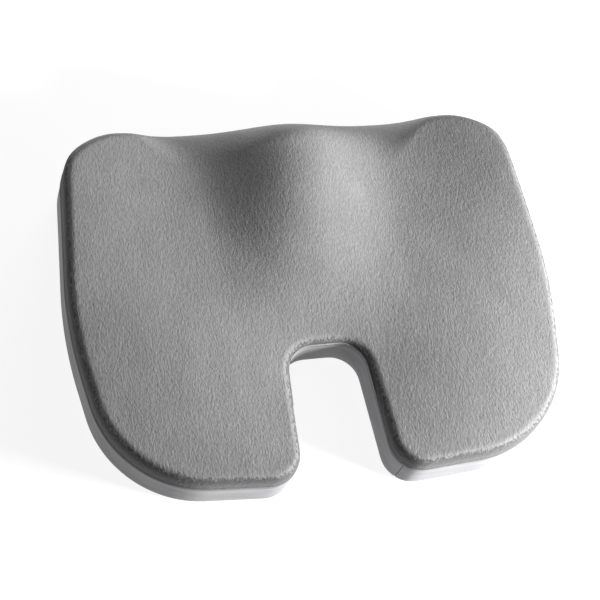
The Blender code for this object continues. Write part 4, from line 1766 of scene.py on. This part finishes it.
@dataclass
class CoilZip:
    """A nylon coil zip: two woven tapes, each with a coil sewn along its inner edge."""

    turn_pitch: float = 1.25 * MM
    filament: float = 0.62 * MM
    reach_in: float = 0.45 * MM     # how far the coils reach past their stand-ins

    def build_tapes(self, material: bpy.types.Material) -> None:
        """Weave both tapes, with a corded edge beside the coil.

        Args:
            material: The tape's weave.
        """
        for side, word in ((1, "upper"), (-1, "lower")):
            low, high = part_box(f"zip_tape_{word}")
            inner, outer = (low.z, high.z) if side > 0 else (high.z, low.z)
            bead = inner + side * 3.0 * MM
            front, back = high.y, low.y
            profile = [
                (back, inner + side * 0.3 * MM),
                (front, inner + side * 0.3 * MM),
                (front, bead - side * 0.5 * MM),
                (front + 0.28 * MM, bead - side * 0.1 * MM),
                (front + 0.28 * MM, bead + side * 0.4 * MM),
                (front, bead + side * 0.8 * MM),
                (front, outer),
                (back, outer),
            ]
            count = 96
            rings = [
                [(low.x + (high.x - low.x) * i / count, y, z) for y, z in profile] for i in range(count + 1)
            ]
            piece = sweep_section(f"woven_tape_{word}", rings, levels=0)
            turn_outwards(piece.data)
            piece.data.set_sharp_from_angle(angle=math.radians(50))
            dress(piece, material, "cushion", "zip_tape", f"zip_tape_{word}")

    def build_coils(self, material: bpy.types.Material) -> None:
        """Wind both coils, the lower one a mirror image of the upper.

        Args:
            material: The nylon.
        """
        for side, word in ((1, "upper"), (-1, "lower")):
            low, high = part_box(f"zip_coil_{word}")
            half_width = (high.z - low.z + self.reach_in) / 2
            centre_z = (low.z + high.z) / 2 - side * self.reach_in / 2
            turns = (high.x - low.x) / self.turn_pitch
            piece = link_object(f"coil_turns_{word}", mesh_from("coil", [(0, 0, 0)], []))
            recipe = GeometryRecipe(
                "ZipCoil",
                {
                    "Turns": turns,
                    "Length": high.x - low.x,
                    "Filament": self.filament,
                    "Half Width": half_width - self.filament / 2,
                    "Half Thickness": (high.y - low.y) / 2 - self.filament / 2,
                },
            )
            node, size = recipe.node, recipe.size
            helix = node(
                "GeometryNodeCurveSpiral",
                {
                    "Resolution": 10,
                    "Rotations": size("Turns"),
                    "Start Radius": 1.0,
                    "End Radius": 1.0,
                    "Height": size("Length"),
                },
            )
            squash = node("ShaderNodeCombineXYZ", {0: size("Half Width"), 1: size("Half Thickness"), 2: 1.0})
            flat = node("GeometryNodeTransform", {"Geometry": helix.outputs[0], "Scale": squash.outputs[0]})
            thread = node(
                "GeometryNodeCurvePrimitiveCircle", {"Resolution": 5, "Radius": 0.5}, mode="RADIUS"
            )
            sized = node("ShaderNodeCombineXYZ", {0: size("Filament"), 1: size("Filament"), 2: 1.0})
            section = node(
                "GeometryNodeTransform", {"Geometry": thread.outputs[0], "Scale": sized.outputs[0]}
            )
            coil = node(
                "GeometryNodeCurveToMesh",
                {"Curve": flat.outputs[0], "Profile Curve": section.outputs[0], "Fill Caps": True},
            )
            recipe.end(coil.outputs[0])
            recipe.run(piece, material)
            turn = Matrix(((0, 0, 1), (0, 1, 0), (side, 0, 0))).to_4x4()
            start = Vector((low.x, (low.y + high.y) / 2, centre_z))
            piece.data.transform(Matrix.Translation(start) @ turn)
            turn_outwards(piece.data)
            dress(piece, material, "cushion", "zip_coil", f"zip_coil_{word}")


@dataclass
class ZipSlider:
    """The die-cast slider: two waisted plates joined by a thin post, side lips and a bridge."""

    plate: float = 1.4 * MM
    edge: float = 0.42 * MM
    bridge_half_length: float = 3.95 * MM
    bridge_half_width: float = 1.0 * MM
    bridge_half_bar: float = 0.55 * MM

    def outline(self, centre: Vector, half_length: float, half_width: float) -> list[Point2]:
        """A plate's outline: broad with a dent where the tapes part, and narrower behind.

        Args:
            centre: The slider's middle.
            half_length: Half its length, along X.
            half_width: Half its width, along Z.

        Returns:
            The rounded outline, as (x, z) points.
        """
        shares = (
            (-0.86, 0.0), (-1.0, 0.34), (-0.98, 0.80), (-0.72, 1.0), (-0.25, 1.0), (0.2, 0.84),
            (0.72, 0.80), (0.98, 0.68), (1.02, 0.0),
        )
        shares += tuple((x, -z) for x, z in reversed(shares[1:-1]))
        return smooth_outline(
            [(centre.x + x * half_length, centre.z + z * half_width) for x, z in shares]
        )

    def build(self, metal: bpy.types.Material, pivot: Vector) -> None:
        """Make the slider around its stand-in's box.

        Args:
            metal: The plated zinc.
            pivot: The middle of the pull's cross-bar.
        """
        low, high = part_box("zip_slider")
        centre = (low + high) / 2
        half_length, half_width = (high.x - low.x) / 2, (high.z - low.z) / 2
        front_face = pivot.y - 1.2 * MM
        outline = self.outline(centre, half_length, half_width)
        bm = bmesh.new()
        for y in (front_face - self.plate / 2, low.y + self.plate / 2):
            plate = cut_sheet("slider_plate", [outline], self.plate, self.edge)
            plate.transform(Matrix.Translation((0, y, 0)))
            bm.from_mesh(plate)
        gap_low, gap_high = low.y + self.plate * 0.6, front_face - self.plate * 0.6
        self.add_block(bm, Vector((low.x + 1.2 * MM, gap_low, centre.z - 0.15 * MM)),
                       Vector((low.x + 4.0 * MM, gap_high, centre.z + 0.15 * MM)))
        for side in (1, -1):
            outer = centre.z + side * (half_width - 0.35 * MM)
            inner = centre.z + side * (half_width - 1.15 * MM)
            self.add_block(
                bm,
                Vector((low.x + 1.4 * MM, front_face - 4.1 * MM, min(outer, inner))),
                Vector((centre.x + 0.6 * MM, gap_high, max(outer, inner))),
            )
        self.add_bridge(bm, centre, front_face, high.y)
        mesh = bpy.data.meshes.new("slider_body")
        bmesh.ops.recalc_face_normals(bm, faces=bm.faces)
        bm.to_mesh(mesh)
        bm.free()
        mesh.shade_smooth()
        mesh.set_sharp_from_angle(angle=math.radians(55))
        dress(link_object("slider_body", mesh), metal, "slider", "zip_metal", "zip_slider")

    def add_block(self, bm: bmesh.types.BMesh, low: Vector, high: Vector) -> None:
        """Add a block.

        Args:
            bm: The mesh that gets it.
            low: Its lowest corner.
            high: Its highest corner.
        """
        made = bmesh.ops.create_cube(bm, size=1.0)["verts"]
        bmesh.ops.scale(bm, vec=high - low, verts=made)
        bmesh.ops.translate(bm, vec=(low + high) / 2, verts=made)

    def add_bridge(self, bm: bmesh.types.BMesh, centre: Vector, face_y: float, top_y: float) -> None:
        """Add the arch that the pull hangs on.

        Args:
            bm: The mesh that gets it.
            centre: The slider's middle.
            face_y: The outer face of the front plate.
            top_y: The outermost point of the arch.
        """
        reach, bar = self.bridge_half_length, self.bridge_half_bar
        top = top_y - bar
        path = [
            (-reach, face_y - 0.5 * MM), (-reach, face_y + 1.6 * MM),
            (-reach + 0.12 * MM, top - 0.65 * MM), (-reach + 0.55 * MM, top - 0.12 * MM),
            (-reach + 1.3 * MM, top),
        ]
        path += [(-x, y) for x, y in reversed(path)]
        rings = []
        for i, (x, y) in enumerate(path):
            before, after = path[max(i - 1, 0)], path[min(i + 1, len(path) - 1)]
            along = Vector((after[0] - before[0], after[1] - before[1])).normalized()
            side = Vector((along.y, -along.x, 0))
            ring = []
            for k in range(12):
                angle = 2 * math.pi * k / 12
                across = math.copysign(abs(math.cos(angle)) ** 0.6, math.cos(angle)) * bar
                rise = math.copysign(abs(math.sin(angle)) ** 0.6, math.sin(angle)) * self.bridge_half_width
                ring.append(bm.verts.new(Vector((centre.x + x, y, centre.z + rise)) + side * across))
            rings.append(ring)
        for one, two in zip(rings, rings[1:]):
            for k in range(12):
                bm.faces.new((one[k], one[(k + 1) % 12], two[(k + 1) % 12], two[k]))
        bm.faces.new(rings[0])
        bm.faces.new(rings[-1])


@dataclass
class PullTab:
    """The pull: a waisted flat tab with a window for the bridge and an oval hole at its tip."""

    thickness: float = 1.4 * MM
    edge: float = 0.4 * MM

    def build(self, metal: bpy.types.Material, pivot: Vector) -> None:
        """Make the tab along its stand-in.

        Args:
            metal: The plated zinc.
            pivot: The middle of its cross-bar.
        """
        low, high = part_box("zip_pull_tab")
        length, half = high.x - pivot.x, (high.z - low.z) / 2
        back = low.x - pivot.x
        outer = [
            (back, -0.8), (back, 0.8), (back + 0.1 * MM, 0.98), (1.2 * MM, 1.0), (7.0 * MM, 1.0),
            (10.0 * MM, 0.90), (16.0 * MM, 0.74), (22.0 * MM, 0.80), (27.0 * MM, 0.98),
            (length - 2.0 * MM, 0.92), (length, 0.5),
        ]
        mirrored = [(x, -z) for x, z in reversed(outer[2:])]
        outline = [(pivot.x + x, pivot.z + z * half) for x, z in outer + mirrored]
        window = [(0.75 * MM, -1), (0.75 * MM, 1), (5.9 * MM, 1), (5.9 * MM, -1)]
        window_half = half - 1.55 * MM
        hole = [
            (pivot.x + 25.2 * MM + 3.6 * MM * math.cos(a), pivot.z + 1.35 * MM * math.sin(a))
            for a in np.linspace(0, 2 * math.pi, 25)[:-1]
        ]
        opening = [(pivot.x + x, pivot.z + z * window_half) for x, z in window]
        mesh = cut_sheet(
            "pull_tab", [smooth_outline(outline), smooth_outline(opening, 1), hole], self.thickness, self.edge
        )
        mesh.transform(Matrix.Translation((0, pivot.y, 0)))
        mesh.set_sharp_from_angle(angle=math.radians(60))
        dress(link_object("pull_tab", mesh), metal, "pull", "zip_metal", "zip_pull_tab")


@dataclass
class CareLabel:
    """A blank satin label, folded double and sewn into the base seam on the right wall."""

    shell: CoverShell
    thickness: float = 0.22 * MM

    def build(self, satin: Finish, thread: bpy.types.Material) -> None:
        """Make the folded label, and the stitches across its foot.

        Args:
            satin: The label's cloth.
            thread: The thread of its stitches.
        """
        low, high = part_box("care_label")
        outline = self.shell.outline
        run = outline.nearest((low.x + high.x) / 2, (low.y + high.y) / 2)
        half, top = (high.y - low.y) / 2, high.z
        path = [(0.35, 4.0), (0.7, 7.0), (0.85, 11.0), (0.95, 16.0), (1.15, 20.0), (1.4, 22.3)]
        back = [(1.75, 22.4), (1.85, 20.0), (1.6, 16.0), (1.45, 11.0), (1.25, 7.0), (0.95, 4.2)]
        height = path[-1][1] * MM
        columns = 11
        rows = []
        for out, z in path + back:
            places, normals = outline.at(run + np.linspace(-half, half, columns))
            shift = out * MM + 0.12 * MM * np.sin(np.linspace(0, 2.6, columns)) * (z / 22)
            level = np.full(columns, z * MM + top - height - 0.3 * MM)
            rows.append(np.column_stack([places + normals * shift[:, None], level]))
        grid = np.array(rows)
        piece = link_object(
            "satin_label",
            mesh_from("satin_label", grid.reshape(-1, 3), grid_faces(len(rows), columns, False), False),
        )
        wall = piece.modifiers.new("Cloth", "SOLIDIFY")
        wall.thickness, wall.offset = self.thickness, 0.0
        smooth = piece.modifiers.new("Smooth", "SUBSURF")
        smooth.levels = smooth.render_levels = 1
        bake_modifiers(piece)
        turn_outwards(piece.data)
        dress(piece, satin.build(), "cushion", "label_satin", "care_label")
        places, normals = outline.at(run + np.linspace(-half + 1 * MM, half - 1 * MM, 9))
        seam = [(x + 1.5 * MM * nx, y + 1.5 * MM * ny, 8.2 * MM) for (x, y), (nx, ny) in zip(places, normals)]
        Stitching(2.4 * MM, 0.35 * MM).build("label_stitches", [seam], thread, "label_satin")


# --- Studio --------------------------------------------------------------------------------


@dataclass
class Studio:
    """A white paper floor, one big soft key from the right, a dim sky and the camera."""

    azimuth: float = -35.92
    elevation: float = 62.50
    roll: float = 27.96
    distance: float = 1.6692
    focal: float = 109.50
    target: tuple[float, float, float] = (-0.01034, 0.00140, 0.030)
    key_angles: Point2 = (60.0, 16.0)
    key_watts: float = 38.0
    key_distance: float = 1.05
    key_size: float = 0.30
    fill_angles: Point2 = (165.0, 10.0)
    fill_distance: float = 1.2
    fill_size: float = 0.6
    fill_watts: float = 10.0
    sky: float = 0.17

    def direction(self, azimuth: float, elevation: float) -> Vector:
        """The unit vector from the cushion towards a place round it, by its angles in degrees."""
        a, e = math.radians(azimuth), math.radians(elevation)
        return Vector((math.sin(a) * math.cos(e), -math.cos(a) * math.cos(e), math.sin(e)))

    def build(self) -> None:
        """Set up the floor, the lights and the camera."""
        self.add_floor()
        self.add_panel("key_panel", self.key_angles, self.key_distance, self.key_size, self.key_watts)
        self.add_panel("front_panel", self.fill_angles, self.fill_distance, self.fill_size, self.fill_watts)
        self.add_sky()
        self.add_camera()
        bpy.context.scene.view_settings.view_transform = "Standard"

    def add_floor(self) -> None:
        """Lay a paper floor just under the base."""
        half, z = 6.0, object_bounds()[0].z - 0.2 * MM
        corners = [(-half, -half, z), (half, -half, z), (half, half, z), (-half, half, z)]
        floor = link_object("floor", mesh_from("floor", corners, [(0, 1, 2, 3)], False))
        floor.data.materials.append(PaperSweep("matt white studio paper", "9c9c9c", 0.9).build())
        floor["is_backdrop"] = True

    def add_panel(self, name: str, angles: Point2, distance: float, size: float, watts: float) -> None:
        """Hang a square light panel that faces the cushion.

        Args:
            name: The light's name.
            angles: Its azimuth and elevation, in degrees.
            distance: How far it is from the cushion.
            size: The length of its side.
            watts: Its power.
        """
        light = bpy.data.lights.new(name, "AREA")
        light.shape, light.size, light.energy = "SQUARE", size, watts
        lamp = bpy.data.objects.new(name, light)
        bpy.context.scene.collection.objects.link(lamp)
        towards = self.direction(*angles)
        lamp.location = towards * distance
        lamp.rotation_euler = towards.to_track_quat("Z", "Y").to_euler()

    def add_sky(self) -> None:
        """Fill the shadows evenly from all round."""
        world = bpy.data.worlds.new("soft_room")
        world.use_nodes = True
        back = world.node_tree.nodes["Background"]
        back.inputs["Color"].default_value = srgb("ffffff")
        back.inputs["Strength"].default_value = self.sky
        bpy.context.scene.world = world

    def add_camera(self) -> None:
        """Point the camera down at the cushion from its rear left, with a roll."""
        back = self.direction(self.azimuth, self.elevation)
        a, r = math.radians(self.azimuth), math.radians(self.roll)
        right = Vector((math.cos(a), math.sin(a), 0))
        up = back.cross(right)
        across = right * math.cos(r) + up * math.sin(r)
        above = up * math.cos(r) - right * math.sin(r)
        lens = bpy.data.cameras.new("camera")
        lens.lens, lens.sensor_width = self.focal, 36.0
        lens.clip_start, lens.clip_end = 0.05, 50.0
        camera = bpy.data.objects.new("camera", lens)
        bpy.context.scene.collection.objects.link(camera)
        turn = Matrix((across, above, back)).transposed().to_4x4()
        camera.matrix_world = Matrix.Translation(Vector(self.target) + back * self.distance) @ turn
        bpy.context.scene.camera = camera


# --- Assembly ------------------------------------------------------------------------------


def refinish(node: str, material: bpy.types.Material) -> None:
    """Give a carried-over node a better material in every slot.

    Args:
        node: The node's name.
        material: Its new finish.
    """
    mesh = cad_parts[node].data
    for i in range(len(mesh.materials)):
        mesh.materials[i] = material
    log.info("%s: carried over", node)


def build_zip(velour: bpy.types.Material, thread: bpy.types.Material, form: SeatForm) -> None:
    """Build the front wall's strips and the zip between them.

    Args:
        velour: The strips' material.
        thread: The stitching's material.
        form: The cushion's form.
    """
    upper_low, upper_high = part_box("front_strip_upper")
    _, lower_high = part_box("front_strip_lower")
    strips = FrontStrips(upper_high.x, upper_high.y, form.seam_z, upper_low.z, lower_high.z)
    strips.build(velour)
    chain = CoilZip()
    chain.build_tapes(WovenTape("woven polyester zip tape", "666668", 0.85).build())
    chain.build_coils(NylonCoil("extruded nylon monofilament", "545457", 0.38).build())
    metal = GunmetalZinc("die-cast zinc, gunmetal plated", "7c7d80", 0.34).build()
    for node in ("zip_stop_left", "zip_stop_right"):
        refinish(node, metal)
    tab_low, tab_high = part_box("zip_pull_tab")
    middle = (tab_low + tab_high) / 2
    pivot = Vector((tab_low.x + (tab_high.y - tab_low.y) / 2, middle.y, middle.z))
    ZipSlider().build(metal, pivot)
    PullTab().build(metal, pivot)
    rows = []
    for z in (upper_low.z + strips.stitch_inset, lower_high.z - strips.stitch_inset):
        y = strips.front_y - 0.12 * MM
        rows.append([(x, y, z) for x in np.linspace(-strips.end + 1.5 * MM, strips.end - 1.5 * MM, 60)])
    Stitching().build("zip_topstitching", rows, thread, "side_velour")


def main() -> None:
    """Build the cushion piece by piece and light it."""
    logging.basicConfig(level=logging.INFO, format="%(message)s")
    form = SeatForm(seam_z=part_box("top_panel")[0].z)
    shell = CoverShell(form)
    shell.build()

    plush = ShearedPlush("sheared polyester plush", "8f8f8f", 0.95)
    velour = SmoothVelour("brushed polyester velour", "868688", 0.8).build()
    thread = SpunThread("spun polyester thread", "7c7c7e", 0.7).build()
    PlushTop(shell).build(plush)
    zip_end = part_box("front_strip_upper")[1].x
    for place in BandPlace:
        WallBand(shell, place, zip_end).build(velour)
    FoamBlock(shell).build(MouldedFoam("moulded viscoelastic foam", "e4ddc9", 0.9))
    GripBase(shell).build(
        BaseKnit("circular-knitted polyester", "2c2c2e", 0.9),
        SoftRubber("printed thermoplastic rubber", "1c1c1d", 0.45),
    )
    build_zip(velour, thread, form)
    CareLabel(shell).build(LabelSatin("woven polyester satin", "e6e6e3", 0.45), thread)
    Studio().build()


if __name__ == "__main__":
    main()
